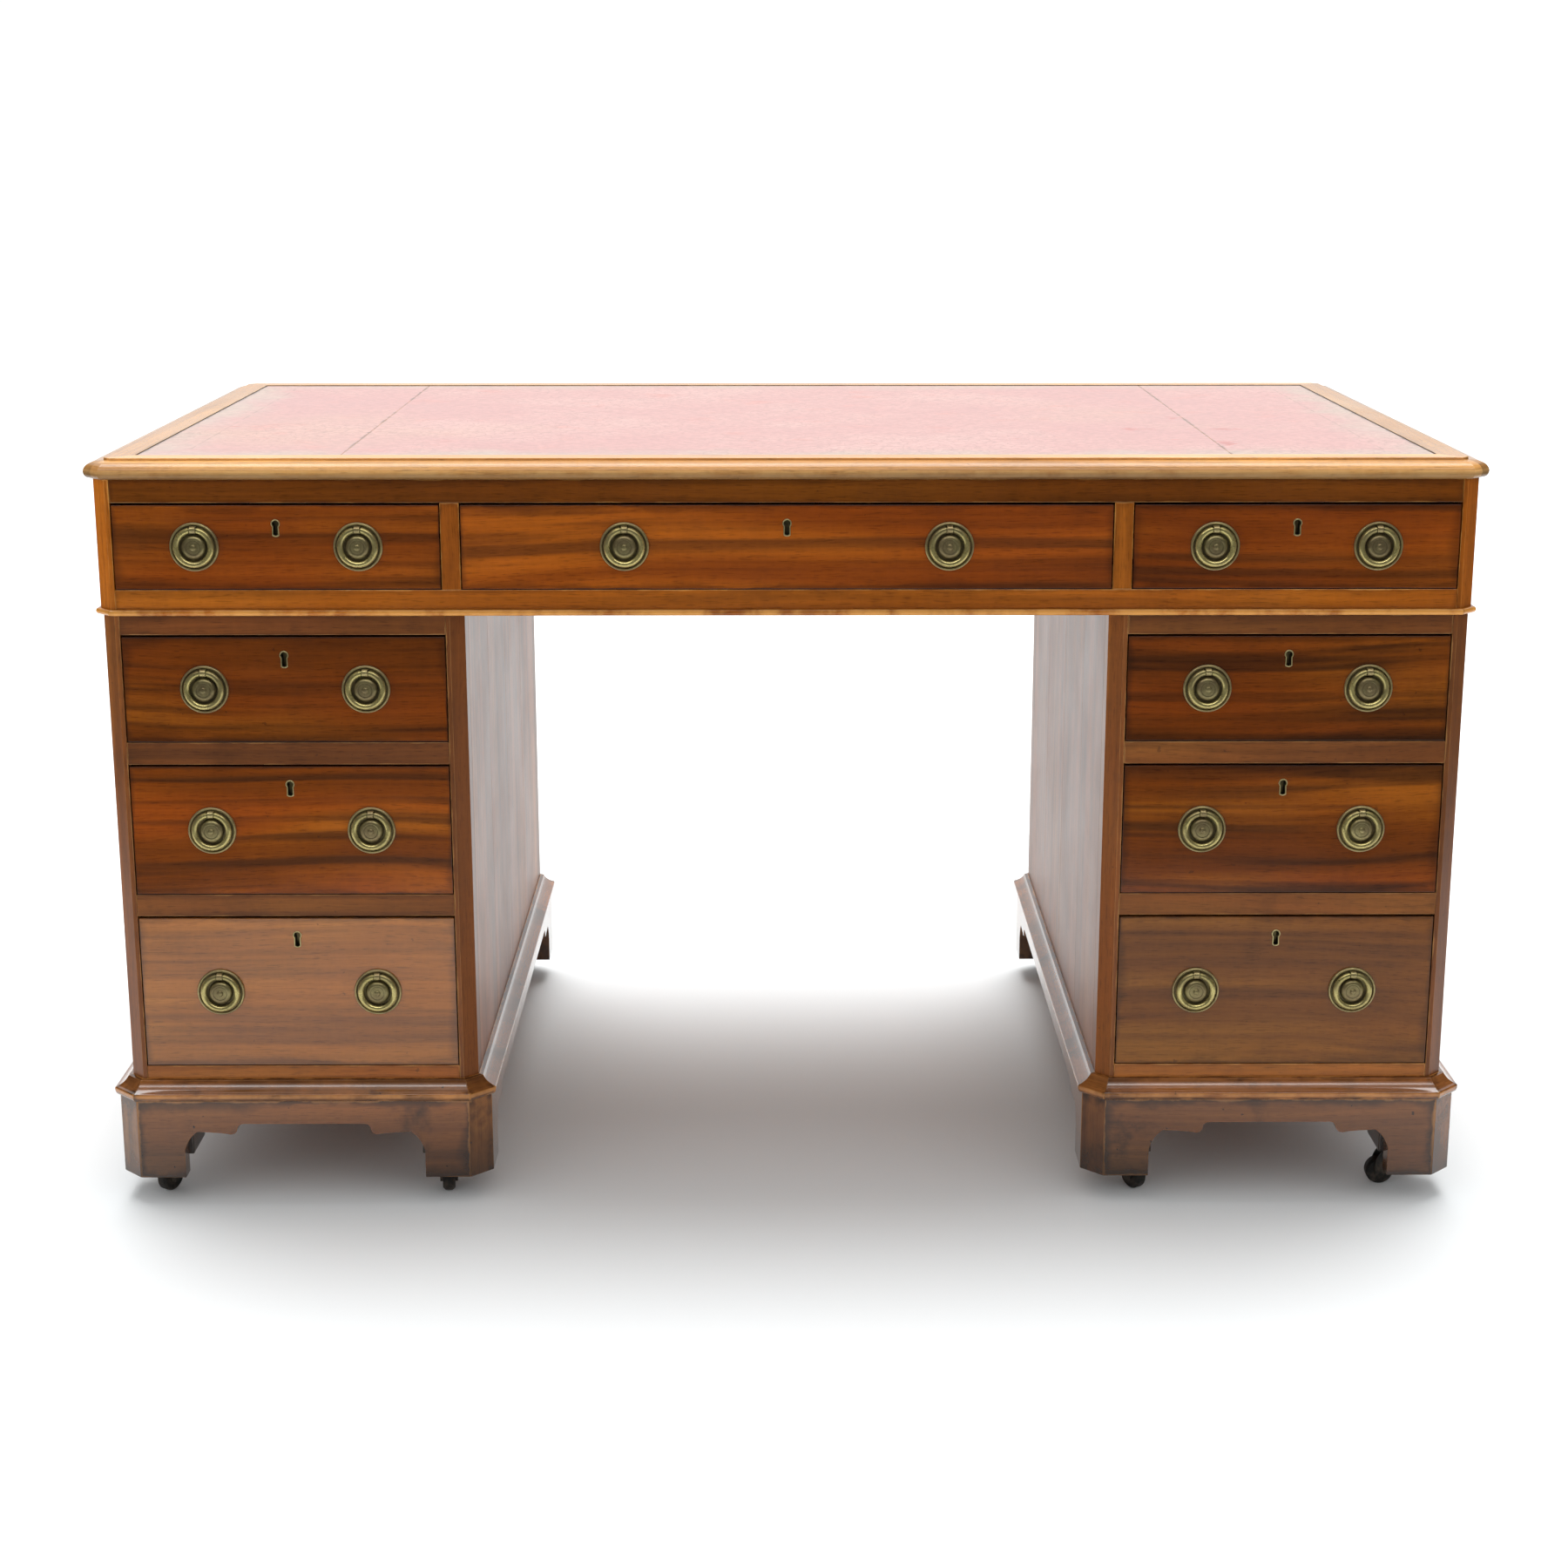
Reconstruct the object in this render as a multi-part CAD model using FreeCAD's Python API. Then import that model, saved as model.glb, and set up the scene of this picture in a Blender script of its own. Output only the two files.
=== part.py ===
"""Victorian mahogany twin-pedestal writing desk, in millimetres.

The desk stands on +Z with its drawers facing -Y and +X to the sitter's right.
The origin is on the floor under the middle of the desk.
Three parts lift apart on the real desk: two pedestals on castors, and a frieze
section with the leather-lined top, which only rests on them.
"""
import FreeCAD
import Part
import math
import os

# Plan of the desk
KNEEHOLE_W = 662.0
PEDESTAL_W = 370.0
PEDESTAL_D = 795.0
CANT = 14.0
POST_STRIP = 4.5
POST_D = 42.0
FRIEZE_LIP = 2.0
CENTRE_OPENING_W = 664.0
MUNTIN_W = 19.5
BACK_T = 15.0

# Heights, from the floor up
FOOT_LIFT = 29.0
PLINTH_H = 87.0
BOTTOM_RAIL_H = 35.0
BOTTOM_OPENING_H = 166.5
MIDDLE_OPENING_H = 140.5
TOP_OPENING_H = 113.0
RAIL_H = 23.5
PEDESTAL_TOP_RAIL_H = 20.5
FRIEZE_BOTTOM_RAIL_H = 26.5
FRIEZE_OPENING_H = 89.0
FRIEZE_TOP_RAIL_H = 24.0
TOP_T = 20.0

# Carcass insides
CASE_BOARD_T = 12.0
RUNNER_W = 22.0
RUNNER_H = 14.0
STOP_L = 20.0
STOP_H = 24.0

# Moulded top
TOP_OVERHANG = 9.0
NOSE_TIP_H = 7.0
NOSE_UNDERCUT = 6.0
NOSE_INSET = 20.0
NOSE_LEDGE = 2.0
NOSE_STEP_H = 2.5
BORDER_W = 27.0
LEATHER_T = 1.2
MIDDLE_HIDE_W = 912.0

# Bead under the frieze
BEAD_H = 6.5
BEAD_OUT = 5.0

# Plinth and bracket feet
PLINTH_STEP = 14.0
PLINTH_T = 20.0
MOULDING_H = 21.0
MOULDING_OUT = 5.0
MOULDING_NOSE_H = 7.0
MOULDING_FILLET = 0.5
MOULDING_SHOULDER_IN = 2.0
MOULDING_SHOULDER_UP = 2.5
MOULDING_FLAT_W = 4.8
MOULDING_FALL = 0.8
FOOT_W = 48.5
FOOT_STRAIGHT_H = 31.0
BRACKET_REACH = 14.5
BRACKET_H = 52.0
APRON_LOBE_REACH = 50.0
APRON_REACH = 64.0
APRON_H = 61.0
APRON_DROOP = 3.0
CORNER_BLOCK_W = 56.0

# Drawers
DRAWER_L = 690.0
DRAWER_SIDE_GAP = 1.0
DRAWER_TOP_GAP = 2.4
DRAWER_FRONT_LIFT = 0.8
FRONT_T = 20.0
LINING_T = 10.0
LINING_DROP = 8.0
DRAWER_BOTTOM_T = 6.0
DRAWER_BOTTOM_RAISE = 8.0
DRAWER_BACK_DROP = 6.0
DOVETAIL_L = 14.0
DOVETAIL_PITCH = 27.0
DOVETAIL_END_GAP = 5.0
DOVETAIL_ROOT_GAP = 11.0

# Ring pulls
PULL_SPACING = 166.0
CENTRE_PULL_SPACING = 330.0
PLATE_R = 25.0
PLATE_RIM_W = 2.8
PLATE_RIM_T = 3.0
PLATE_FLOOR_T = 1.2
BOSS_R = 12.6
BOSS_T = 7.4
BOSS_TOP_R = 7.6
BUTTON_R = 3.2
BUTTON_T = 1.8
BUTTON_FLAT_R = 1.3
RING_R = 17.8
RING_WIRE_R = 3.1
RING_REST_GAP = 0.4
KNUCKLE_W = 6.0
KNUCKLE_R = 3.8
HINGE_PIN_R = 2.0
RUNNING_FIT = 0.05
SIDE_PLAY = 0.35
STUD_R = 3.0
STUD_TAIL = 6.0
NUT_R = 6.5
NUT_T = 4.0
DRILLED_FIT = 0.1

# Keyholes and locks
KEYHOLE_DROP = 25.5
ESCUTCHEON_R = 4.6
ESCUTCHEON_SKIRT = 13.4
ESCUTCHEON_FOOT_W = 7.2
ESCUTCHEON_NECK_W = 6.8
ESCUTCHEON_FOOT_CURVE = 1.4
ESCUTCHEON_WALL = 1.2
ESCUTCHEON_PROUD = 0.4
LOCK_W = 56.0
LOCK_H = 40.0
LOCK_T = 10.0

# Castors
CASTOR_INSET = 52.0
CASTOR_H = 48.0
CASTOR_TRAIL = 15.0
CASTOR_PLATE_R = 19.0
CASTOR_PLATE_T = 4.0
SWIVEL_PIN_R = 4.0
SWIVEL_DISC_R = 11.0
SWIVEL_DISC_T = 6.0
WHEEL_R = 15.0
WHEEL_W = 13.0
WHEEL_EDGE = 2.5
FORK_GAP = 0.5
FORK_T = 2.5
HORN_HEEL = 6.0
HORN_BRIDGE_T = 2.0
AXLE_R = 2.5
AXLE_BOSS_R = 5.5

# Heading of each castor's trail at rest, in degrees from +X, by pedestal and corner
CASTOR_HEADINGS = {
    ("left", "front", "outer"): 238.0,
    ("left", "front", "inner"): 275.0,
    ("left", "back", "outer"): 140.0,
    ("left", "back", "inner"): 35.0,
    ("right", "front", "inner"): 305.0,
    ("right", "front", "outer"): 180.0,
    ("right", "back", "inner"): 110.0,
    ("right", "back", "outer"): 20.0,
}

# Levels and faces that follow from the driving sizes
POST_W = CANT + POST_STRIP
PLINTH_TOP_Z = FOOT_LIFT + PLINTH_H
BOTTOM_OPENING_Z = PLINTH_TOP_Z + BOTTOM_RAIL_H
MIDDLE_OPENING_Z = BOTTOM_OPENING_Z + BOTTOM_OPENING_H + RAIL_H
TOP_OPENING_Z = MIDDLE_OPENING_Z + MIDDLE_OPENING_H + RAIL_H
PEDESTAL_TOP_Z = TOP_OPENING_Z + TOP_OPENING_H + PEDESTAL_TOP_RAIL_H
FRIEZE_OPENING_Z = PEDESTAL_TOP_Z + FRIEZE_BOTTOM_RAIL_H
FRIEZE_TOP_Z = FRIEZE_OPENING_Z + FRIEZE_OPENING_H + FRIEZE_TOP_RAIL_H
DESK_TOP_Z = FRIEZE_TOP_Z + TOP_T

PEDESTAL_INNER_X = KNEEHOLE_W / 2
PEDESTAL_OUTER_X = PEDESTAL_INNER_X + PEDESTAL_W
PEDESTAL_FRONT_Y = -PEDESTAL_D / 2
FRIEZE_X = PEDESTAL_OUTER_X + FRIEZE_LIP
FRIEZE_Y = PEDESTAL_D / 2 + FRIEZE_LIP
TOP_X = FRIEZE_X + TOP_OVERHANG
TOP_Y = FRIEZE_Y + TOP_OVERHANG

# How much a 45 degree cant grows when the outline is moved out by one
CANT_GROWTH = 2 - math.sqrt(2)

# How far an arc's middle leaves its chord towards the corner: a quarter round, and a shallow curve
QUARTER_ROUND = math.sqrt(2) - 1
SHALLOW = 0.2


def vec(x, y, z):
    return FreeCAD.Vector(x, y, z)


def board(x0, x1, y0, y1, z0, z1):
    return Part.makeBox(x1 - x0, y1 - y0, z1 - z0, vec(x0, y0, z0))


def prism(points, z0, z1):
    """A flat outline in plan, raised from z0 to z1."""
    corners = [vec(x, y, z0) for x, y in points]
    return Part.Face(Part.makePolygon(corners + corners[:1])).extrude(vec(0, 0, z1 - z0))


def profile_face(start, legs, place):
    """A face bounded by legs from start: (end,) is a line, (through, end) an arc."""
    edges = []
    here = start
    for leg in legs:
        if len(leg) == 1:
            edges.append(Part.LineSegment(place(here), place(leg[0])).toShape())
        else:
            edges.append(Part.Arc(place(here), place(leg[0]), place(leg[1])).toShape())
        here = leg[-1]
    return Part.Face(Part.Wire(edges))


def bulge(start, end, corner, fullness):
    """The middle of an arc from start to end that is drawn out towards corner."""
    middle = [(a + b) / 2 for a, b in zip(start, end)]
    return tuple(m + (c - m) * fullness for m, c in zip(middle, corner))


def cylinder(radius, start, along):
    return Part.makeCylinder(radius, along.Length, start, along)


def canted_outline(x0, x1, y0, y1, cant):
    """A rectangle with its corners cut at 45 degrees, from the front edge round by +X."""
    return [
        (x0 + cant, y0), (x1 - cant, y0), (x1, y0 + cant), (x1, y1 - cant),
        (x1 - cant, y1), (x0 + cant, y1), (x0, y1 - cant), (x0, y0 + cant),
    ]


def stepped_outline(x0, x1, y0, y1, cant, step):
    """The canted outline with every side moved out by step."""
    return canted_outline(x0 - step, x1 + step, y0 - step, y1 + step, cant + CANT_GROWTH * step)


def mitred_run(inner, outer, side, z0, z1):
    """One side of a ring between two outlines, mitred at both ends."""
    after = (side + 1) % len(inner)
    return prism([inner[side], inner[after], outer[after], outer[side]], z0, z1)


def moulded_ring(box, cant, start, legs, reach, z0, z1):
    """Eight mitred lengths of a moulding round a canted outline.

    The profile is in steps out from the outline and heights above z0.
    """
    inner = stepped_outline(*box, cant, 0)
    outer = stepped_outline(*box, cant, reach)
    runs = []
    for side in range(len(inner)):
        after = (side + 1) % len(inner)
        begin = vec(*inner[side], z0)
        along = vec(*inner[after], z0) - begin
        unit = FreeCAD.Vector(along).normalize()
        outward = vec(unit.y, -unit.x, 0)
        ends = unit * (2 * reach)

        def place(point):
            return begin - ends + outward * point[0] + vec(0, 0, point[1])

        length = profile_face(start, legs, place).extrude(along + ends * 2)
        runs.append(length.common(mitred_run(inner, outer, side, z0, z1)))
    return runs


def corner_post(x, y, x_in, y_in, z0, z1):
    """A canted corner post; x and y are its outer faces, x_in and y_in point into the carcass."""
    return prism([
        (x + x_in * CANT, y), (x + x_in * POST_W, y), (x + x_in * POST_W, y + y_in * POST_D),
        (x, y + y_in * POST_D), (x, y + y_in * CANT),
    ], z0, z1)


def corner_posts(x0, x1, y0, y1, z0, z1):
    return [corner_post(x, y, x_in, y_in, z0, z1)
            for x, x_in in ((x0, 1), (x1, -1)) for y, y_in in ((y0, 1), (y1, -1))]


def runners(x0, x1, z, front_y, back_y):
    """A pair of drawer runners whose tops are at z, each with a stop behind the drawer."""
    pieces = []
    stop_y = front_y + DRAWER_L
    for edge, inward in ((x0, 1), (x1, -1)):
        low, high = sorted((edge, edge + inward * RUNNER_W))
        pieces.append(board(low, high, front_y + POST_D, back_y, z - RUNNER_H, z))
        pieces.append(board(low, high, stop_y, stop_y + STOP_L, z, z + STOP_H))
    return pieces


def nosed_slab(half, direction, reach):
    """A slab with the top's thumbnail nosing on two opposite sides, half from the middle."""
    along = vec(*direction, 0).normalize()
    outward = vec(along.y, -along.x, 0)
    tip_z = FRIEZE_TOP_Z + NOSE_TIP_H
    step_z = DESK_TOP_Z - NOSE_STEP_H
    ledge = half - NOSE_INSET + NOSE_LEDGE
    under = half - NOSE_UNDERCUT
    crown = bulge((half, tip_z), (ledge, step_z), (half, step_z), QUARTER_ROUND)
    belly = bulge((half, tip_z), (under, FRIEZE_TOP_Z), (half, FRIEZE_TOP_Z), QUARTER_ROUND)
    arris = half - NOSE_INSET

    def place(point):
        return outward * point[0] + vec(0, 0, point[1]) - along * reach

    def mirror(point):
        return (-point[0], point[1])

    legs = [
        ((under, FRIEZE_TOP_Z),),
        (belly, (half, tip_z)),
        (crown, (ledge, step_z)),
        ((arris, step_z),),
        ((arris, DESK_TOP_Z),),
        ((-arris, DESK_TOP_Z),),
        ((-arris, step_z),),
        ((-ledge, step_z),),
        (mirror(crown), (-half, tip_z)),
        (mirror(belly), (-under, FRIEZE_TOP_Z)),
    ]
    return profile_face((-under, FRIEZE_TOP_Z), legs, place).extrude(along * (2 * reach))


def moulded_top():
    """The border boards mitred round a ground board, with the nosing worked on every edge."""
    cant = CANT + CANT_GROWTH * TOP_OVERHANG
    diagonal = (TOP_X + TOP_Y - cant) * math.sqrt(0.5)
    reach = TOP_X + TOP_Y
    slab = nosed_slab(TOP_Y, (1, 0), reach)
    for half, direction in ((TOP_X, (0, 1)), (diagonal, (1, 1)), (diagonal, (1, -1))):
        slab = slab.common(nosed_slab(half, direction, reach))
    x = TOP_X - NOSE_INSET - BORDER_W
    y = TOP_Y - NOSE_INSET - BORDER_W
    far = NOSE_INSET + BORDER_W
    inner = [(-x, -y), (x, -y), (x, y), (-x, y)]
    outer = [(-x - far, -y - far), (x + far, -y - far), (x + far, y + far), (-x - far, y + far)]
    rails = [slab.common(mitred_run(inner, outer, side, FRIEZE_TOP_Z, DESK_TOP_Z)) for side in range(4)]
    ground_z = DESK_TOP_Z - LEATHER_T
    ground = board(-x, x, -y, y, FRIEZE_TOP_Z, ground_z)
    seam = MIDDLE_HIDE_W / 2
    hides = [board(left, right, -y, y, ground_z, DESK_TOP_Z)
             for left, right in ((-x, -seam), (-seam, seam), (seam, x))]
    return rails + [ground], hides


def frieze_openings():
    """Sideways limits of the three frieze openings, left to right."""
    middle = CENTRE_OPENING_W / 2
    end = FRIEZE_X - POST_W
    return [(-end, -middle - MUNTIN_W), (-middle, middle), (middle + MUNTIN_W, end)]


def frieze_carcass():
    """Canted posts, sides, back, rails, muntins and the bearers that the frieze drawers run on."""
    z0 = PEDESTAL_TOP_Z
    z1 = FRIEZE_TOP_Z
    front = -FRIEZE_Y
    back = FRIEZE_Y - BACK_T
    end = FRIEZE_X - POST_W
    opening_top = FRIEZE_OPENING_Z + FRIEZE_OPENING_H
    pieces = corner_posts(-FRIEZE_X, FRIEZE_X, front, FRIEZE_Y, z0, z1)
    for x in (-FRIEZE_X, end):
        pieces.append(board(x, x + POST_W, front + POST_D, FRIEZE_Y - POST_D, z0, z1))
    pieces.append(board(-end, end, back, FRIEZE_Y, z0, z1))
    pieces.append(board(-end, end, front, front + POST_D, z0, FRIEZE_OPENING_Z))
    pieces.append(board(-end, end, front, front + POST_D, opening_top, z1))
    for x in (-CENTRE_OPENING_W / 2 - MUNTIN_W, CENTRE_OPENING_W / 2):
        muntin = (x, x + MUNTIN_W, front, front + POST_D)
        pieces.append(board(*muntin, FRIEZE_OPENING_Z, opening_top))
        pieces.append(board(x, x + MUNTIN_W, front + POST_D, back, z0, z1))
    for x0, x1 in frieze_openings():
        pieces += runners(x0, x1, FRIEZE_OPENING_Z, front, back)
    half = BEAD_H / 2
    flat = BEAD_OUT - half
    bead = [((flat, 0),), ((BEAD_OUT, half), (flat, BEAD_H)), ((0, BEAD_H),), ((0, 0),)]
    box = (-FRIEZE_X, FRIEZE_X, front, FRIEZE_Y)
    return pieces + moulded_ring(box, CANT, (0, 0), bead, BEAD_OUT, z0, z0 + BEAD_H)


def pedestal_limits(side):
    """Lowest and highest x of the left or right pedestal."""
    if side == "left":
        return -PEDESTAL_OUTER_X, -PEDESTAL_INNER_X
    return PEDESTAL_INNER_X, PEDESTAL_OUTER_X


def pedestal_opening_levels():
    """Bottom and height of a pedestal's drawer openings, top drawer first."""
    return [
        (TOP_OPENING_Z, TOP_OPENING_H),
        (MIDDLE_OPENING_Z, MIDDLE_OPENING_H),
        (BOTTOM_OPENING_Z, BOTTOM_OPENING_H),
    ]


def pedestal_carcass(side):
    """Canted posts, sides, back, top and bottom boards, rails and drawer runners."""
    x0, x1 = pedestal_limits(side)
    front = PEDESTAL_FRONT_Y
    back = -front - BACK_T
    z0 = PLINTH_TOP_Z
    z1 = PEDESTAL_TOP_Z
    inner0 = x0 + POST_W
    inner1 = x1 - POST_W
    pieces = corner_posts(x0, x1, front, -front, z0, z1)
    for x in (x0, inner1):
        pieces.append(board(x, x + POST_W, front + POST_D, -front - POST_D, z0, z1))
    pieces.append(board(inner0, inner1, back, -front, z0, z1))
    pieces.append(board(inner0, inner1, front + POST_D, back, z0, z0 + CASE_BOARD_T))
    pieces.append(board(inner0, inner1, front + POST_D, back, z1 - CASE_BOARD_T, z1))
    rail_top = z1
    for z, height in pedestal_opening_levels():
        pieces.append(board(inner0, inner1, front, front + POST_D, z + height, rail_top))
        pieces += runners(inner0, inner1, z, front, back)
        rail_top = z
    pieces.append(board(inner0, inner1, front, front + POST_D, z0, rail_top))
    return pieces


def bracket_cut(middle, half, axis, near, far):
    """The shaped opening between two bracket feet, through boards from near to far.

    The outline runs up the foot, round the concave bracket to its cusp, along the
    drooping apron to its lobe, and up to the level middle.
    """
    foot = half - FOOT_W
    z_foot = FOOT_LIFT + FOOT_STRAIGHT_H
    z_cusp = FOOT_LIFT + BRACKET_H
    z_apron = FOOT_LIFT + APRON_H
    cusp = foot - BRACKET_REACH
    lobe = foot - APRON_LOBE_REACH
    level = foot - APRON_REACH
    z_droop = z_cusp - APRON_DROOP
    lobe_end = (lobe + level) / 2
    z_lobe_end = z_cusp + APRON_DROOP
    stations = [
        ((foot, z_foot), (foot, z_cusp), SHALLOW),
        ((cusp, z_cusp), (lobe, z_cusp), SHALLOW),
        ((lobe, z_droop), (lobe_end, z_droop), QUARTER_ROUND),
        ((lobe_end, z_lobe_end), (lobe_end, z_apron), QUARTER_ROUND),
    ]
    ends = [station[0] for station in stations[1:]] + [(level, z_apron)]
    legs = [((foot, z_foot),)]
    for (begin, corner, fullness), end in zip(stations, ends):
        legs.append((bulge(begin, end, corner, fullness), end))
    start = (foot, FOOT_LIFT - PLINTH_T)
    mirrored = [start]
    for leg in legs:
        mirrored.append(leg[-1])
    back_legs = []
    for k in range(len(legs) - 1, -1, -1):
        end = (-mirrored[k][0], mirrored[k][1])
        through = [(-point[0], point[1]) for point in legs[k][:-1]]
        back_legs.append(tuple(through) + (end,))

    def place(point):
        if axis == "x":
            return vec(middle + point[0], near, point[1])
        return vec(near, middle + point[0], point[1])

    whole = legs + [((-level, z_apron),)] + back_legs + [(start,)]
    depth = vec(0, far - near, 0) if axis == "x" else vec(far - near, 0, 0)
    return profile_face(start, whole, place).extrude(depth)


def plinth(side):
    """Bracket-foot boards with canted corner pieces, corner blocks and the moulding above."""
    x0, x1 = pedestal_limits(side)
    y0 = PEDESTAL_FRONT_Y
    y1 = -y0
    outer = stepped_outline(x0, x1, y0, y1, CANT, PLINTH_STEP)
    inner = stepped_outline(x0, x1, y0, y1, CANT, PLINTH_STEP - PLINTH_T)
    boards = [mitred_run(inner, outer, k, FOOT_LIFT, PLINTH_TOP_Z) for k in range(len(outer))]
    middle_x = (x0 + x1) / 2
    half_x = (outer[1][0] - outer[0][0]) / 2
    half_y = (outer[3][1] - outer[2][1]) / 2
    front_cut = bracket_cut(middle_x, half_x, "x", y0 - PLINTH_T, y1 + PLINTH_T)
    side_cut = bracket_cut(0, half_y, "y", x0 - PLINTH_T, x1 + PLINTH_T)
    for k, cut in ((0, front_cut), (2, side_cut), (4, front_cut), (6, side_cut)):
        boards[k] = boards[k].cut(cut)
    blocks = []
    step = PLINTH_STEP - PLINTH_T
    cant = CANT + CANT_GROWTH * step
    for x, x_in in ((x0 - step, 1), (x1 + step, -1)):
        for y, y_in in ((y0 - step, 1), (y1 + step, -1)):
            blocks.append(prism([
                (x + x_in * cant, y), (x + x_in * CORNER_BLOCK_W, y),
                (x + x_in * CORNER_BLOCK_W, y + y_in * CORNER_BLOCK_W),
                (x, y + y_in * CORNER_BLOCK_W), (x, y + y_in * cant),
            ], CASTOR_H, PLINTH_TOP_Z))
    tip = PLINTH_STEP + MOULDING_OUT
    lip = (PLINTH_STEP + MOULDING_FILLET, 0)
    nose = (tip, MOULDING_NOSE_H)
    shoulder = (tip - MOULDING_SHOULDER_IN, MOULDING_NOSE_H + MOULDING_SHOULDER_UP)
    flat = (MOULDING_FLAT_W, MOULDING_H - MOULDING_FALL)
    legs = [
        (lip,),
        (bulge(lip, nose, (tip, 0), QUARTER_ROUND), nose),
        (bulge(nose, shoulder, (tip, shoulder[1]), QUARTER_ROUND), shoulder),
        (bulge(shoulder, flat, (flat[0], shoulder[1]), SHALLOW), flat),
        ((0, MOULDING_H),),
        ((0, 0),),
    ]
    box = (x0, x1, y0, y1)
    top_z = PLINTH_TOP_Z + MOULDING_H
    return boards + blocks + moulded_ring(box, CANT, (0, 0), legs, tip, PLINTH_TOP_Z, top_z)


def escutcheon_outline(x, z, grow, y):
    """A keyhole outline with its round end centred on x, z, grown all round by grow."""
    radius = ESCUTCHEON_R + grow
    foot = ESCUTCHEON_FOOT_W / 2 + grow
    neck = ESCUTCHEON_NECK_W / 2 + grow
    neck_z = -math.sqrt(radius ** 2 - neck ** 2)
    foot_z = -ESCUTCHEON_SKIRT - grow

    def place(point):
        return vec(x + point[0], y, z + point[1])

    legs = [
        ((0, radius), (neck, neck_z)),
        ((foot, foot_z + ESCUTCHEON_FOOT_CURVE),),
        ((0, foot_z), (-foot, foot_z + ESCUTCHEON_FOOT_CURVE)),
        ((-neck, neck_z),),
    ]
    return profile_face((-neck, neck_z), legs, place)


def pull_plate(x, y, z):
    """A turned brass back plate: rim bead, dished floor and a domed boss with a button."""
    rim = PLATE_R - PLATE_RIM_W
    top = BOSS_T + BUTTON_T
    boss_foot = (BOSS_R, PLATE_FLOOR_T)
    boss_top = (BOSS_TOP_R, BOSS_T)
    button_foot = (BUTTON_R, BOSS_T)
    button_top = (BUTTON_FLAT_R, top)
    legs = [
        ((PLATE_R, 0),),
        ((PLATE_R, PLATE_FLOOR_T),),
        ((PLATE_R - PLATE_RIM_W / 2, PLATE_RIM_T), (rim, PLATE_FLOOR_T)),
        (boss_foot,),
        (bulge(boss_foot, boss_top, (BOSS_R, BOSS_T), QUARTER_ROUND), boss_top),
        (button_foot,),
        (bulge(button_foot, button_top, (BUTTON_R, top), QUARTER_ROUND), button_top),
        ((0, top),),
        ((0, 0),),
    ]

    def place(point):
        return vec(x + point[0], y - point[1], z)

    return profile_face((0, 0), legs, place).revolve(vec(x, y, z), vec(0, 1, 0), 360)


def hinge_out():
    """How far the ring's hinge line stands out from the drawer front."""
    return PLATE_FLOOR_T + RING_REST_GAP + RING_WIRE_R


def pull_knuckle(x, y, z):
    """The lug on the plate that holds the ring's hinge pin."""
    pivot_z = z + RING_R
    out = hinge_out()

    def place(point):
        return vec(x - KNUCKLE_W / 2, y - point[0], pivot_z + point[1])

    legs = [
        ((out, -KNUCKLE_R),),
        ((out + KNUCKLE_R, 0), (out, KNUCKLE_R)),
        ((PLATE_FLOOR_T, KNUCKLE_R),),
        ((PLATE_FLOOR_T, -KNUCKLE_R),),
    ]
    lug = profile_face((PLATE_FLOOR_T, -KNUCKLE_R), legs, place).extrude(vec(KNUCKLE_W, 0, 0))
    eye = cylinder(HINGE_PIN_R + RUNNING_FIT, vec(x - KNUCKLE_W, y - out, pivot_z), vec(2 * KNUCKLE_W, 0, 0))
    return lug.cut(eye)


def pull_ring(x, y, z):
    """The ring, hanging: a round-wire hoop closed at the top by its hinge pin."""
    inner = RING_R - RING_WIRE_R
    half_gap = math.degrees(math.asin((KNUCKLE_W / 2 + SIDE_PLAY) / inner))
    centre = vec(x, y - hinge_out(), z)
    section = Part.Circle(centre + vec(0, 0, RING_R), vec(1, 0, 0), RING_WIRE_R).toShape()
    face = Part.Face(Part.Wire([section]))
    face.rotate(centre, vec(0, 1, 0), half_gap)
    hoop = face.revolve(centre, vec(0, 1, 0), 360 - 2 * half_gap)
    reach = RING_R * math.sin(math.radians(half_gap)) + HINGE_PIN_R / 2
    pin = cylinder(HINGE_PIN_R, centre + vec(-reach, 0, RING_R), vec(2 * reach, 0, 0))
    return hoop.fuse(pin).removeSplitter()


def pull_fixing(x, y, z):
    """The stud brazed to a plate and the nut that draws it up inside the drawer front."""
    inside_y = y + FRONT_T
    stud = cylinder(STUD_R, vec(x, y, z), vec(0, FRONT_T + STUD_TAIL, 0))
    nut = cylinder(NUT_R, vec(x, inside_y, z), vec(0, NUT_T, 0))
    nut = nut.cut(cylinder(STUD_R + RUNNING_FIT, vec(x, inside_y, z), vec(0, NUT_T, 0)))
    return [stud, nut]


def dovetailed_side(x, behind, back_y, z, top):
    """A drawer side whose front end is cut into tails that lap into the drawer front."""
    count = max(1, round((top - z) / DOVETAIL_PITCH))
    pitch = (top - z) / count
    tip_y = behind - DOVETAIL_L
    outline = [(back_y, z)]
    for k in range(count):
        low = z + k * pitch
        high = low + pitch
        outline += [
            (behind, low), (behind, low + DOVETAIL_ROOT_GAP / 2), (tip_y, low + DOVETAIL_END_GAP / 2),
            (tip_y, high - DOVETAIL_END_GAP / 2), (behind, high - DOVETAIL_ROOT_GAP / 2),
        ]
    outline += [(behind, top), (back_y, top)]
    corners = [vec(x, y, height) for y, height in outline]
    return Part.Face(Part.makePolygon(corners + corners[:1])).extrude(vec(LINING_T, 0, 0))


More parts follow.
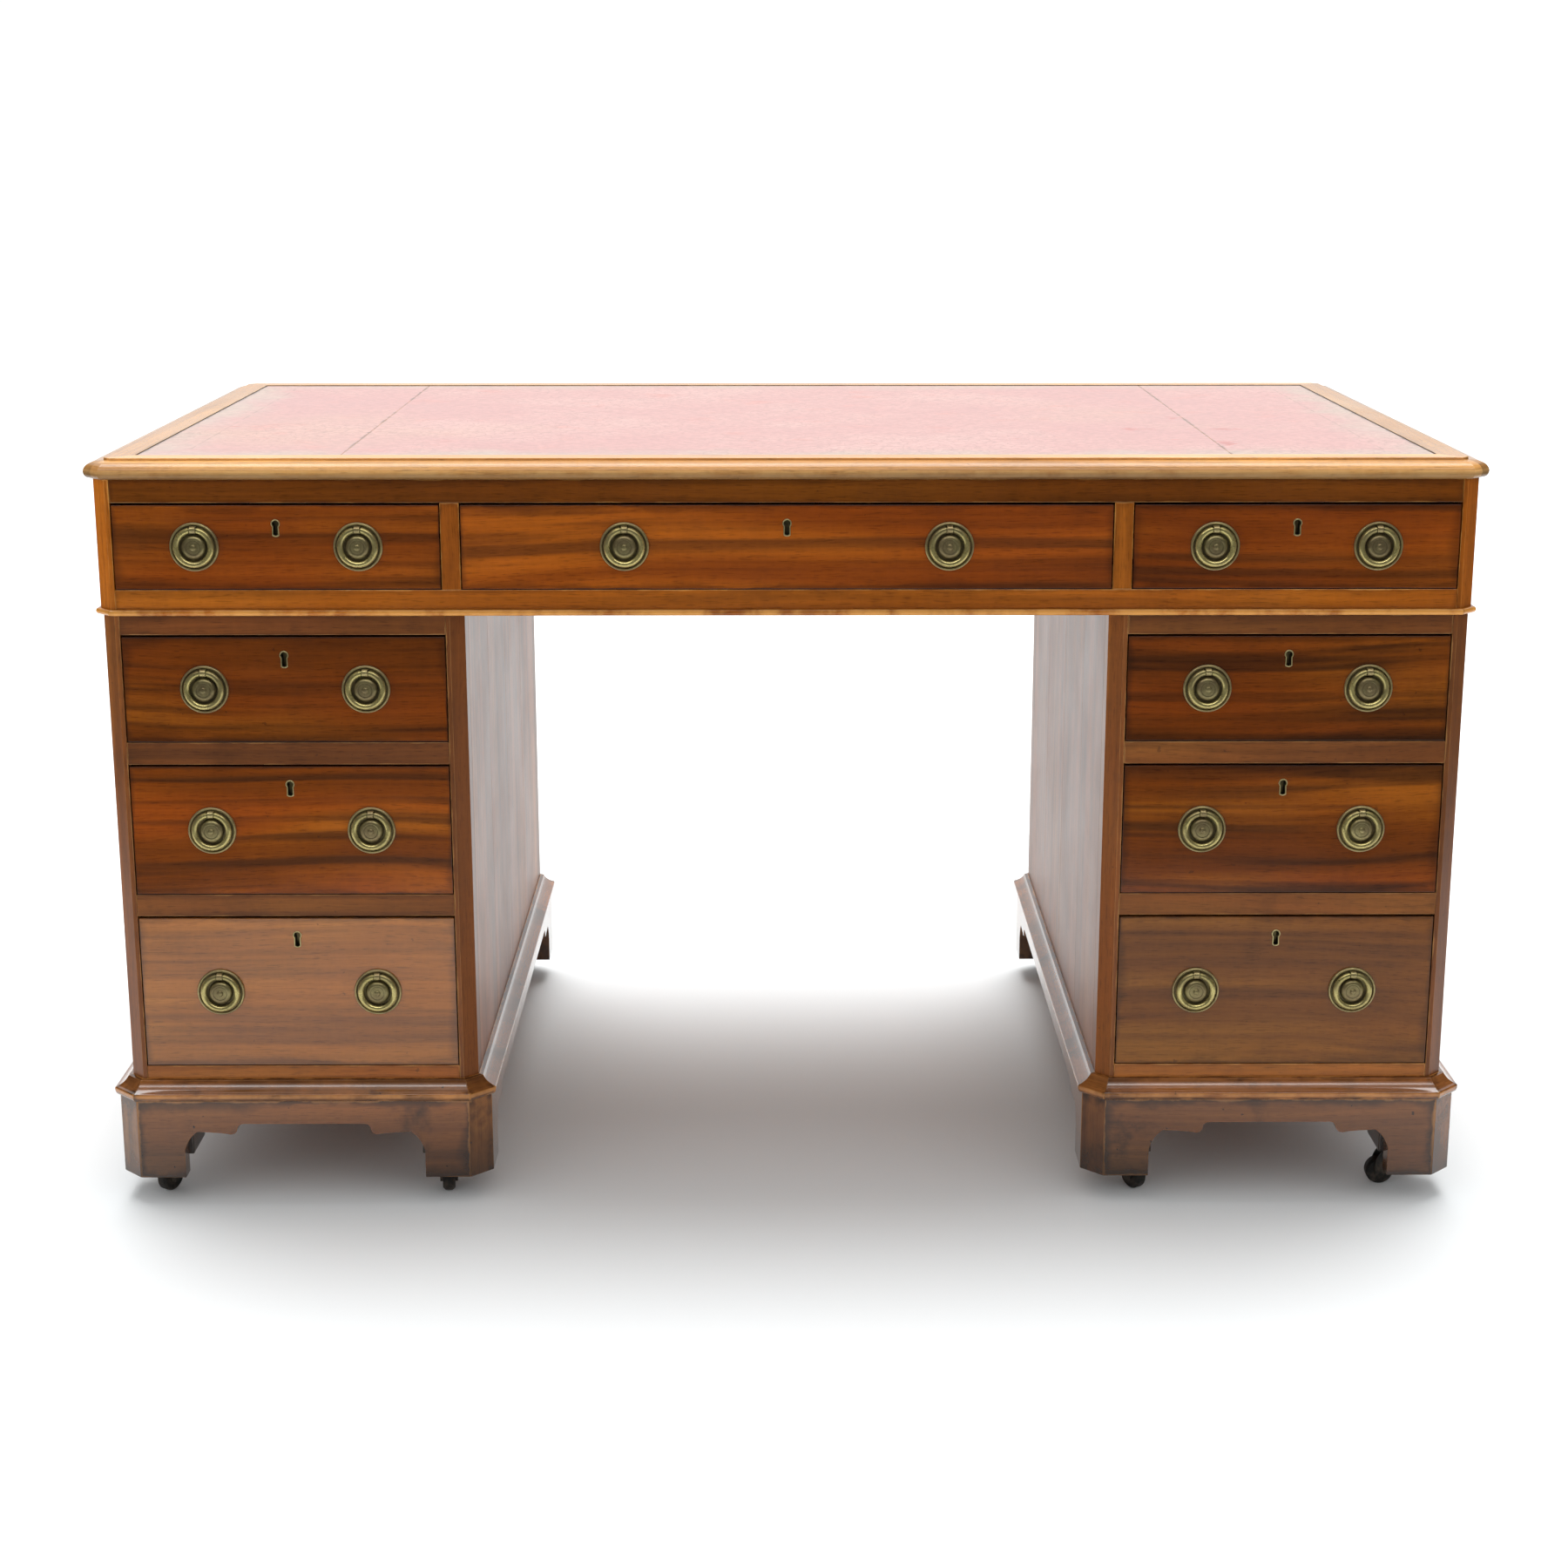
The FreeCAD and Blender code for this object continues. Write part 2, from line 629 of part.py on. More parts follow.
def drawer(x0, x1, z, height, front_y, pull_spacing):
    """A drawer for the opening x0 to x1 above z: wood, fixed brass, and the two rings."""
    left = x0 + DRAWER_SIDE_GAP
    right = x1 - DRAWER_SIDE_GAP
    middle = (x0 + x1) / 2
    top = z + height - DRAWER_TOP_GAP
    behind = front_y + FRONT_T
    back_y = front_y + DRAWER_L
    lining_top = z + height - LINING_DROP
    bottom_z = z + DRAWER_BOTTOM_RAISE
    floor_z = bottom_z + DRAWER_BOTTOM_T
    pull_z = z + height / 2
    pulls = (middle - pull_spacing / 2, middle + pull_spacing / 2)
    key_z = z + height - KEYHOLE_DROP + (ESCUTCHEON_SKIRT - ESCUTCHEON_R) / 2
    lock_y = behind - LOCK_T
    lock = board(middle - LOCK_W / 2, middle + LOCK_W / 2, lock_y, behind, top - LOCK_H, top)

    front = board(left, right, front_y, behind, z + DRAWER_FRONT_LIFT, top)
    front = front.cut(lock)
    front = front.cut(escutcheon_outline(middle, key_z, DRILLED_FIT, front_y).extrude(vec(0, FRONT_T, 0)))
    for x in pulls:
        front = front.cut(cylinder(STUD_R + DRILLED_FIT, vec(x, front_y, pull_z), vec(0, FRONT_T, 0)))
    sides = [dovetailed_side(x, behind, back_y, z, lining_top)
             for x in (left, right - LINING_T)]
    wood = [
        front.cut(sides),
        *sides,
        board(left + LINING_T, right - LINING_T, behind, back_y, bottom_z, floor_z),
        board(left + LINING_T, right - LINING_T, back_y - LINING_T, back_y, floor_z,
              lining_top - DRAWER_BACK_DROP),
    ]

    liner_y = front_y - ESCUTCHEON_PROUD
    liner = escutcheon_outline(middle, key_z, 0, liner_y).extrude(vec(0, lock_y - liner_y, 0))
    keyway = escutcheon_outline(middle, key_z, -ESCUTCHEON_WALL, liner_y).extrude(vec(0, lock_y - liner_y, 0))
    brass = [liner.cut(keyway), lock]
    rings = []
    for x in pulls:
        brass += [pull_plate(x, front_y, pull_z), pull_knuckle(x, front_y, pull_z)]
        brass += pull_fixing(x, front_y, pull_z)
        rings.append(pull_ring(x, front_y, pull_z))
    return wood, brass, rings


def drawer_list():
    """Name, opening and pull spacing of each drawer."""
    drawers = []
    for place, (x0, x1) in zip(("left", "centre", "right"), frieze_openings()):
        spacing = CENTRE_PULL_SPACING if place == "centre" else PULL_SPACING
        drawers.append(("frieze_%s_drawer" % place, x0, x1, FRIEZE_OPENING_Z, FRIEZE_OPENING_H,
                        -FRIEZE_Y, spacing))
    for side in ("left", "right"):
        x0, x1 = pedestal_limits(side)
        for place, (z, height) in zip(("top", "middle", "bottom"), pedestal_opening_levels()):
            drawers.append(("%s_%s_drawer" % (side, place), x0 + POST_W, x1 - POST_W, z, height,
                            PEDESTAL_FRONT_Y, PULL_SPACING))
    return drawers


def castor_pivot(side, end, place):
    """Plan position of a castor's swivel pin, CASTOR_INSET from the plinth's two outer faces."""
    x0, x1 = pedestal_limits(side)
    at_low_x = (side == "left") == (place == "outer")
    inset = CASTOR_INSET - PLINTH_STEP
    x = x0 + inset if at_low_x else x1 - inset
    y = PEDESTAL_FRONT_Y + inset
    return x, y if end == "front" else -y


def castor_plate():
    """The round plate screwed under a corner block, bored for the swivel pin."""
    z0 = CASTOR_H - CASTOR_PLATE_T
    plate = cylinder(CASTOR_PLATE_R, vec(0, 0, z0), vec(0, 0, CASTOR_PLATE_T))
    bore = cylinder(SWIVEL_PIN_R + RUNNING_FIT, vec(0, 0, z0), vec(0, 0, CASTOR_PLATE_T))
    return plate.cut(bore)


def castor_horn():
    """The swivelling horn with its trail along +X, and the axle riveted through its cheeks."""
    disc_top = CASTOR_H - CASTOR_PLATE_T
    disc_z = disc_top - SWIVEL_DISC_T
    inside = WHEEL_W / 2 + FORK_GAP
    outside = inside + FORK_T
    toe = CASTOR_TRAIL + AXLE_BOSS_R
    bridge_z = disc_z + HORN_BRIDGE_T
    brow = (SWIVEL_DISC_R, bridge_z)
    axle_front = (toe, WHEEL_R)
    axle_back = (CASTOR_TRAIL - AXLE_BOSS_R, WHEEL_R)
    nape = (-HORN_HEEL, disc_z)
    nape_top = (-HORN_HEEL, bridge_z)

    def place(point):
        return vec(point[0], -outside, point[1])

    legs = [
        (brow,),
        (bulge(brow, axle_front, (toe, bridge_z), QUARTER_ROUND), axle_front),
        ((CASTOR_TRAIL, WHEEL_R - AXLE_BOSS_R), axle_back),
        (bulge(axle_back, nape, (axle_back[0], disc_z), SHALLOW), nape),
        (nape_top,),
    ]
    cheeks = profile_face(nape_top, legs, place).extrude(vec(0, 2 * outside, 0))
    slot_top = board(-2 * toe, 2 * toe, -inside, inside, 0, disc_z)
    axle_start = vec(CASTOR_TRAIL, -outside, WHEEL_R)
    axle_bore = cylinder(AXLE_R + RUNNING_FIT, axle_start, vec(0, 2 * outside, 0))
    disc = cylinder(SWIVEL_DISC_R, vec(0, 0, disc_z), vec(0, 0, SWIVEL_DISC_T))
    pin = cylinder(SWIVEL_PIN_R, vec(0, 0, disc_z), vec(0, 0, SWIVEL_DISC_T + CASTOR_PLATE_T))
    horn = cheeks.cut(slot_top).cut(axle_bore).fuse([disc, pin]).removeSplitter()
    axle = cylinder(AXLE_R, axle_start, vec(0, 2 * outside, 0))
    return [horn, axle]


def castor_wheel():
    """A solid wheel with bevelled edges, bored for its axle."""
    start = vec(CASTOR_TRAIL, -WHEEL_W / 2, WHEEL_R)
    wheel = cylinder(WHEEL_R, start, vec(0, WHEEL_W, 0))
    rims = [edge for edge in wheel.Edges if edge.Closed and edge.Length > WHEEL_R]
    wheel = wheel.makeChamfer(WHEEL_EDGE, rims)
    return wheel.cut(cylinder(AXLE_R + RUNNING_FIT, start, vec(0, WHEEL_W, 0)))


def placed(solid, x, y, heading):
    copy = solid.copy()
    copy.rotate(vec(0, 0, 0), vec(0, 0, 1), heading)
    copy.translate(vec(x, y, 0))
    return copy


def save(node, solids):
    shape = solids[0] if len(solids) == 1 else Part.makeCompound(solids)
    shape.exportStep(os.path.join("parts", node + ".step"))


os.makedirs("parts", exist_ok=True)

top_frame, leather_top = moulded_top()
save("top_frame", top_frame)
save("leather_top", leather_top)
save("frieze_carcass", frieze_carcass())
for side in ("left", "right"):
    save("%s_pedestal_carcass" % side, pedestal_carcass(side))
    save("%s_plinth" % side, plinth(side))

for name, *opening in drawer_list():
    wood, brass, rings = drawer(*opening)
    save(name, wood)
    save(name + "_fittings", brass)
    for hand, ring in zip(("left", "right"), rings):
        save("%s_%s_ring" % (name, hand), [ring])

plates = []
for corner, heading in CASTOR_HEADINGS.items():
    x, y = castor_pivot(*corner)
    name = "%s_%s_%s_castor" % corner
    plates.append(placed(castor_plate(), x, y, 0))
    save(name + "_horn", [placed(solid, x, y, heading) for solid in castor_horn()])
    save(name + "_wheel", [placed(castor_wheel(), x, y, heading)])
save("castor_plates", plates)
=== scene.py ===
"""A Victorian mahogany pedestal desk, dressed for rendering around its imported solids.

Sizes are in millimetres and become metres where a mesh is made. Drawers face -Y, +Z is up.
"""
import math
import bpy
import numpy as np
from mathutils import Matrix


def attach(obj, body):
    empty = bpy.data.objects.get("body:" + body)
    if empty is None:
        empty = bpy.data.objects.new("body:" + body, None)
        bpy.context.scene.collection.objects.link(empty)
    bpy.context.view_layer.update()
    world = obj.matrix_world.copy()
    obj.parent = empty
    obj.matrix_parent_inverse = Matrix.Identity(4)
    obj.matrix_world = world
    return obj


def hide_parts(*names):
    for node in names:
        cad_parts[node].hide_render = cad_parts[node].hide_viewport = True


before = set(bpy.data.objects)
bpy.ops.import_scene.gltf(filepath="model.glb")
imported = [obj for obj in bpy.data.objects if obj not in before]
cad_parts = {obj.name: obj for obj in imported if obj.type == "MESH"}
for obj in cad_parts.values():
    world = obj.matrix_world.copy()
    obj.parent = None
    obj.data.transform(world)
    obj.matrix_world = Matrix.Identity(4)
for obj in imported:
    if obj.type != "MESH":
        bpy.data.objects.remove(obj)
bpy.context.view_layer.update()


# Castors
# Eight small castors under the plinths' corner blocks: a plate, a swivelling horn and a solid wheel.
# Cast and turned in iron, screwed up from below, black with age and grey with dust near the floor.
RUST = (0.05, 0.022, 0.012)


def feed(made, inputs):
    """Gives the sockets of a node their values, or links them to the sockets that feed them."""
    for name, value in dict(inputs).items():
        socket = made.inputs[name]
        if isinstance(value, bpy.types.NodeSocket):
            made.id_data.links.new(value, socket)
        else:
            socket.default_value = (*value, 1) if socket.type == "RGBA" else value


def node(tree, kind, inputs=(), **settings):
    """A new shader node with its settings and what goes into its sockets."""
    made = tree.nodes.new("ShaderNode" + kind)
    for name, value in settings.items():
        setattr(made, name, value)
    feed(made, inputs)
    return made


def wired(kind, inputs, output=0, **settings):
    """One output of a new node, in the tree of the first socket that feeds it."""
    inputs = dict(inputs)
    tree = next(value.id_data for value in inputs.values() if isinstance(value, bpy.types.NodeSocket))
    return node(tree, kind, inputs, **settings).outputs[output]


def maths(operation, *terms):
    """The result of one sum on values and sockets."""
    return wired("Math", enumerate(terms), operation=operation)


def times(first, second):
    """The product of two values or sockets."""
    return maths("MULTIPLY", first, second)


def vectors(operation, *terms):
    """The result of one sum on vectors and vector sockets."""
    return wired("VectorMath", enumerate(terms), operation=operation)


def scaled(colour, factor):
    """A colour socket times a value."""
    return wired("VectorMath", {0: colour, "Scale": factor}, operation="SCALE")


def split(vector):
    """The three values of a vector socket."""
    return node(vector.id_data, "SeparateXYZ", {0: vector}).outputs[:3]


def clouds(place, scale, detail=3, roughness=0.6):
    """Fractal noise from 0 to 1, with lumps about one over scale apart."""
    sockets = {"Vector": place, "Scale": scale, "Detail": detail, "Roughness": roughness}
    return wired("TexNoise", sockets)


def streaks(place, stretch, detail=3, roughness=0.6):
    """Fractal noise drawn out, with lumps about one over stretch apart along each axis."""
    return clouds(vectors("MULTIPLY", place, stretch), 1, detail, roughness)


def ramp(value, low, high, start=0, end=1):
    """A smooth step from start to end as value goes from low to high."""
    sockets = {"Value": value, "From Min": low, "From Max": high, "To Min": start, "To Max": end}
    return wired("MapRange", sockets, interpolation_type="SMOOTHSTEP")


def mixed(share, first, second):
    """Colour first turned into colour second by share."""
    return wired("Mix", {0: share, 6: first, 7: second}, 2, data_type="RGBA")


def bumped(height, strength, distance):
    """A normal that follows a height in metres."""
    return wired("Bump", {"Height": height, "Strength": strength, "Distance": distance})


def finish(name):
    """A new material and its shader."""
    made = bpy.data.materials.new(name)
    made.use_nodes = True
    return made, made.node_tree.nodes["Principled BSDF"]


def object_place(shader):
    """The place in the object, for the textures of a shader."""
    return node(shader.id_data, "TexCoord").outputs["Object"]


def dusty_metal(name, bare, dusted, dust_top):
    """Dark metal with rusty patches, pale dust from the floor up to dust_top metres."""
    made, shader = finish(name)
    place = object_place(shader)
    patches = clouds(place, 90, 5)
    dust = times(ramp(split(place)[2], dust_top, 0), ramp(patches, 0.35, 0.7))
    base = mixed(ramp(patches, 0.45, 0.75), bare, RUST)
    feed(shader, {
        "Base Color": mixed(dust, base, dusted), "Roughness": ramp(patches, 0.3, 0.7, 0.45, 0.8),
        "Metallic": 0.6, "Normal": bumped(patches, 0.5, 0.0006),
    })
    return made


castor_finishes = {
    "horn": dusty_metal("castor_iron", (0.018, 0.016, 0.014), (0.16, 0.13, 0.1), 0.05),
    "wheel": dusty_metal("castor_wheel_black", (0.012, 0.011, 0.01), (0.12, 0.1, 0.08), 0.03),
    "plates": dusty_metal("castor_plate_iron", (0.03, 0.026, 0.022), (0.14, 0.11, 0.09), 0.05),
}
for name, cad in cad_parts.items():
    if "castor" in name:
        cad.data.materials.clear()
        cad.data.materials.append(castor_finishes[name.split("_")[-1]])


# Plinths
# Each pedestal stands in a mahogany plinth: eight boards mitred round its canted plan, the long ones
# sawn to bracket feet, glued to corner blocks, with a moulding mitred round the pedestal's foot above.
PEDESTALS = {"left": (-701, -331), "right": (331, 701)}
PEDESTAL_Y = 397.5
CANT = 14
CANT_GROWTH = 2 - math.sqrt(2)
MITRE = math.tan(math.radians(22.5))
MITRE_GAP = 0.1
QUARTER_ROUND = math.sqrt(2) - 1
SHALLOW = 0.2
FOOT_Z = 29
PLINTH_TOP_Z = 116
CASTOR_TOP_Z = 48
PLINTH_STEP = 14
PLINTH_T = 20
FOOT_W = 48.5
FLUSH = 50
BLOCK_W = 56
SHARP_TURN = 0.4
EASED_SHARE = 0.4
RIM_EASE = 0.2
FIGURE_RANGE = 8000
OLD_WAX = (0.014, 0.006, 0.003)
DARK_MARK = (0.02, 0.009, 0.004)
PLAN = np.eye(3)
TURNED_ROUND = [0, 3, 2, 1]
timber = np.random.default_rng(1874)


def curve(start, corner, end, fullness=QUARTER_ROUND, count=7):
    """Points from start to end, drawn out towards corner.

    (1-t)^2 S + 2t(1-t) K + t^2 E, where K is the middle of S and E moved by twice fullness
    of the way to the corner.
    """
    start, corner, end = np.array([start, corner, end], float)
    middle = (start + end) / 2
    pull = middle + 2 * fullness * (corner - middle)
    t = np.linspace(0, 1, count)[:, None]
    return (1 - t) ** 2 * start + 2 * t * (1 - t) * pull + t ** 2 * end


def canted(x0, x1, y, step=0):
    """A plan from -y to y with canted corners, every side moved out by step, anticlockwise from the front."""
    x0, x1, y = x0 - step, x1 + step, y + step
    cant = CANT + CANT_GROWTH * step
    return np.array([
        (x0 + cant, -y), (x1 - cant, -y), (x1, cant - y), (x1, y - cant),
        (x1 - cant, y), (x0 + cant, y), (x0, y - cant), (x0, cant - y),
    ])


def anticlockwise(points):
    """The outline, turned round if its signed area is negative."""
    points = np.array(points, float)
    after = np.roll(points, -1, 0)
    area = np.sum(points[:, 0] * after[:, 1] - points[:, 1] * after[:, 0])
    return points if area > 0 else points[::-1]


def unit(vector):
    """Vectors scaled to length one."""
    return vector / np.maximum(np.linalg.norm(vector, axis=-1, keepdims=True), 1e-12)


def stacked(*parts):
    """Arrays that stretch over one grid, as the coordinates of its points."""
    return np.stack(np.broadcast_arrays(*parts), -1)


def bands(index):
    """Quads between neighbouring rings of point numbers, each ring closed."""
    after = np.roll(index, -1, 1)
    return np.stack([index[:-1], after[:-1], after[1:], index[1:]], -1).reshape(-1, 4)


def eased(points, radius):
    """A closed anticlockwise outline with its sharp corners rounded over.

    A corner P becomes A, M, B: A and B lie back along its two sides by radius times the tangent of
    half the turn, at most 0.4 of a side, and M = (A + 2P + B) / 4. A corner that turns little stays
    one point. Gives points, outward normals, wear (1 on an outer corner), and each point's corner.
    """
    points = np.asarray(points, float)
    side = np.roll(points, -1, 0) - points
    length = np.hypot(side[:, 0], side[:, 1])
    ahead = side / length[:, None]
    behind = np.roll(ahead, 1, 0)
    turn = np.arctan2(behind[:, 0] * ahead[:, 1] - behind[:, 1] * ahead[:, 0], (behind * ahead).sum(1))
    reach = EASED_SHARE * np.minimum(length, np.roll(length, 1))
    back = np.minimum(radius * np.abs(np.tan(turn / 2)), reach)[:, None]
    sharp = np.abs(turn) > SHARP_TURN
    first, last = points - behind * back, points + ahead * back
    middle = np.where(sharp[:, None], (first + 2 * points + last) / 4, points)
    out_behind = behind[:, ::-1] * (1, -1)
    out_ahead = ahead[:, ::-1] * (1, -1)
    out = np.stack([out_behind, unit(out_behind + out_ahead), out_ahead], 1)
    arris_wear_and_shade = stacked(0, 1 * (sharp & (turn > 0)), 0)
    keep = stacked(sharp, True, sharp)
    corner = np.repeat(np.arange(len(points))[:, None], 3, 1)
    return np.stack([first, middle, last], 1)[keep], out[keep], arris_wear_and_shade[keep], corner[keep]


def skin(co, normals, faces, local, rub, tone=1):
    """One closed surface with what its finish reads at each point.

    spot is the place in the board from its middle, half the board's half sizes, shift a seeded offset
    that gives each board its own figure, rub the wear and tone the lightness.
    """
    low, high = local.min(0), local.max(0)
    whole = np.ones((len(co), 1))
    return {
        "co": co, "normal": normals, "faces": faces, "spot": local - (low + high) / 2,
        "half": whole * (high - low) / 2, "shift": whole * timber.uniform(0, FIGURE_RANGE, 3),
        "rub": np.minimum(rub * whole[:, 0], 1), "tone": tone * timber.normal(1, 0.05) * whole[:, 0],
    }


def swept(outline, span, axes, origin=(0, 0, 0), ease=0.8, grain=2, mitre=(0, 0), lean=0, wear=0,
          hole=None, tone=1):
    """A flat outline carried straight along a third axis, its arrises and ends rounded over.

    A point is origin + a A + b B + c C. At each end the outline draws in by 0.7, 0.2 and 0 of ease while
    c moves in by 0, 0.3 and 1 of ease. A mitred end adds its slope times a to c, and a leaning
    corner its slope times c to a. A hole goes straight through; its caps are two halves that meet
    above and below it.
    """
    axes = np.asarray(axes, float)
    flat, out, rub, corner = eased(outline, ease)
    rub = rub + np.broadcast_to(wear, len(outline))[corner]
    cap = np.array([1, 0.6, 0, 0, 0.6, 1])[:, None, None]
    ab = flat - (ease * np.array([0.7, 0.2, 0, 0, 0.2, 0.7]))[:, None, None] * out
    advance = (ease * np.array([0, 0.3, 1, 1, 0.3, 0]))[:, None]
    begin = span[0] + mitre[0] * ab[..., 0] + advance
    end = span[1] + mitre[1] * ab[..., 0] - advance
    c = np.where(np.arange(6)[:, None] < 3, begin, end)
    a = ab[..., 0] + np.broadcast_to(lean, len(outline))[corner] * c
    local = stacked(a, ab[..., 1], c)
    ends = unit(np.array([(mitre[0], 0, -1), (-mitre[1], 0, 1)], float))
    normals = unit(stacked(*out.T, 0 * a) * (1 - cap) + cap * np.repeat(ends, 3, 0)[:, None])
    rub = np.maximum(rub, np.array([0, 1, 0, 0, 1, 0])[:, None]) * np.array([0, 1, 1, 1, 1, 0])[:, None]
    index = np.arange(a.size).reshape(a.shape)
    faces = [bands(index)]
    local, normals, rub = local.reshape(-1, 3), normals.reshape(-1, 3), rub.reshape(-1)
    caps = [(index[0], -1), (index[-1], 1)]
    if hole is None:
        faces += [ring[None, ::way] for ring, way in caps]
    else:
        tangent = np.roll(hole, -1, 0) - np.roll(hole, 1, 0)
        rim_out = unit(tangent[:, ::-1] * (1, -1))
        grown = hole + np.array([RIM_EASE, 0, 0, RIM_EASE])[:, None, None] * rim_out
        depth = np.array([span[0], span[0] + RIM_EASE, span[1] - RIM_EASE, span[1]])[:, None]
        wall = stacked(grown[..., 0], grown[..., 1], depth)
        inward = stacked(*-rim_out.T, 0)
        facing = np.stack(np.broadcast_arrays(ends[0], inward, inward, ends[1]))
        lip = len(local) + np.arange(4 * len(hole)).reshape(4, -1)
        faces.append(bands(lip)[:, TURNED_ROUND])
        top = int(np.argmax(corner == 3))
        half = len(hole) // 2
        for (ring, way), edge in zip(caps, (lip[0], lip[-1])):
            right = np.hstack([ring[:top + 1], edge[half::-1]])
            left = np.hstack([ring[top:], ring[:1], edge[:1], edge[:half - 1:-1]])
            faces += [right[None, ::way], left[None, ::way]]
        local = np.vstack([local, wall.reshape(-1, 3)])
        normals = np.vstack([normals, facing.reshape(-1, 3)])
        rub = np.hstack([rub, np.zeros(lip.size)])
    if np.linalg.det(axes) < 0:
        faces = [face[:, ::-1] for face in faces]
    order = [(0, 1, 2), (1, 2, 0), (2, 0, 1)][grain]
    return skin(local @ axes + np.array(origin, float), normals @ axes, faces, local[:, order], rub, tone)


def board(low, high, grain, ease=0.8, tone=1):
    """A squared board from corner to corner with its grain along one axis."""
    a, b = (grain + 1) % 3, (grain + 2) % 3
    outline = [(low[a], low[b]), (high[a], low[b]), (high[a], high[b]), (low[a], high[b])]
    return swept(outline, (low[grain], high[grain]), PLAN[[a, b, grain]], ease=ease, tone=tone)


def planks(low, high, grain, across, count, ease=0.6, tone=1):
    """Boards side by side that fill a box, joined flush, so their finish sees no edge along the joints."""
    edges = np.linspace(low[across], high[across], count + 1)
    made = []
    for start, end in zip(edges[:-1], edges[1:]):
        near, far = list(low), list(high)
        near[across], far[across] = start, end
        plank = board(near, far, grain, ease, tone)
        plank["half"][:, 1 + (across - grain - 1) % 3] += FLUSH
        plank["rub"][:] = 0
        made.append(plank)
    return made


def moulding(outline, profile, z, wear, ease=0.35):
    """Lengths of a moulding mitred round a canted outline, its profile in steps out and up."""
    runs = []
    for begin, end in zip(outline, np.roll(outline, -1, 0)):
        along = unit(end - begin)
        axes = [(along[1], -along[0], 0), (0, 0, 1), (*along, 0)]
        span = (MITRE_GAP, np.hypot(*(end - begin)) - MITRE_GAP)
        mitre = (-MITRE, MITRE)
        runs.append(swept(profile, span, axes, (*begin, z), ease, mitre=mitre, wear=wear, tone=1.35))
    return runs


def placed(name, data):
    """A new object in the scene, at the origin."""
    piece = bpy.data.objects.new(name, data)
    bpy.context.scene.collection.objects.link(piece)
    return piece


def joined(name, skins, body, replaced, material):
    """One object at the origin from a list of skins, riding on a body in the place of a CAD node."""
    firsts = np.cumsum([0] + [len(part["co"]) for part in skins])
    faces = []
    for part, first in zip(skins, firsts):
        for block in part["faces"]:
            faces += (block + first).tolist()
    whole = {key: np.concatenate([part[key] for part in skins]) for key in skins[0] if key != "faces"}
    mesh = bpy.data.meshes.new(name)
    mesh.from_pydata((whole["co"] / 1000).tolist(), [], faces)
    for key in ("spot", "half", "shift"):
        flat = (whole[key] / 1000).astype(np.float32).ravel()
        mesh.attributes.new(key, "FLOAT_VECTOR", "POINT").data.foreach_set("vector", flat)
    for key in ("rub", "tone"):
        flat = whole[key].astype(np.float32)
        mesh.attributes.new(key, "FLOAT", "POINT").data.foreach_set("value", flat)
    mesh.polygons.foreach_set("use_smooth", np.ones(len(mesh.polygons), bool))
    mesh.normals_split_custom_set_from_vertices(whole["normal"].tolist())
    mesh.materials.append(material)
    piece = placed(name, mesh)
    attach(piece, body)
    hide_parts(replaced)


def group(name, inputs, outputs):
    """An empty node group with named sockets; gives it, what comes in, and the node for what goes out."""
    tree = bpy.data.node_groups.new(name, "ShaderNodeTree")
    for way, sockets in (("INPUT", inputs), ("OUTPUT", outputs)):
        for socket, kind in sockets.items():
            tree.interface.new_socket(name=socket, in_out=way, socket_type="NodeSocket" + kind)
    return tree, tree.nodes.new("NodeGroupInput").outputs, tree.nodes.new("NodeGroupOutput")


# Mahogany figure: broad ribbons between a pale and a deep colour, wavy dark veins, fine lines and pores,
# all drawn out along the grain, which is the first of the three coordinates
figure_group, given, result = group(
    "mahogany figure",
    {"Grain": "Vector", "Pale": "Color", "Flush": "Color", "Deep": "Color", "Vein": "Color",
     "Veining": "Float", "Ripple": "Float"},
    {"Color": "Color", "Height": "Float"})
grain = given["Grain"]
wander = streaks(grain, (1.8, 2.6, 2.6), 1)
sway = times(maths("SUBTRACT", wander, 0.5), given["Ripple"])
waved = vectors("ADD", grain, wired("CombineXYZ", {1: sway, 2: sway}))
ribbon = streaks(waved, (1.1, 17, 17), 2, 0.5)
vein = streaks(waved, (1.2, 60, 60), 2, 0.5)
line = streaks(waved, (3, 240, 240))
pore = streaks(waved, (60, 900, 900), 1)
fleck = streaks(grain, (260, 70, 70), 2)
patch = streaks(grain, (2.4, 8, 8), 2)
flush = mixed(ramp(patch, 0.38, 0.62), given["Pale"], given["Flush"])
base = mixed(ramp(ribbon, 0.36, 0.62), flush, given["Deep"])
base = mixed(times(ramp(vein, 0.47, 0.68), given["Veining"]), base, given["Vein"])
tone = times(ramp(line, 0.25, 0.75, 1.14, 0.86), ramp(pore, 0.56, 0.7, 1, 0.7))
tone = times(tone, ramp(fleck, 0.25, 0.75, 0.97, 1.03))
feed(result, {"Color": vectors("MULTIPLY", base, tone), "Height": clouds(grain, 14, 1)})

# Board edges: how far a point on a face is from that face's nearest edge is the middle one of its three
# distances to the board's sides; there arrises take the arris colour in patches, pale wear on most boards and
# near black painted shade on the drawer fronts, and old wax gathers further in
edge_group, given, result = group(
    "rubbed arrises and old wax",
    {"Spot": "Vector", "Half": "Vector", "Rub": "Float", "Shift": "Vector", "Reach": "Float",
     "Wax Reach": "Float"},
    {"Rubbed": "Float", "Wax": "Float"})
along, across, through = split(vectors("SUBTRACT", given["Half"], vectors("ABSOLUTE", given["Spot"])))
lesser = maths("MINIMUM", along, across)
greater = maths("MAXIMUM", along, across)
edge = maths("MAXIMUM", lesser, maths("MINIMUM", greater, through))
place = vectors("ADD", given["Spot"], given["Shift"])
lumps = clouds(place, 28, 4)
reach = times(given["Reach"], ramp(lumps, 0.35, 0.75, 0.15, 1.8))
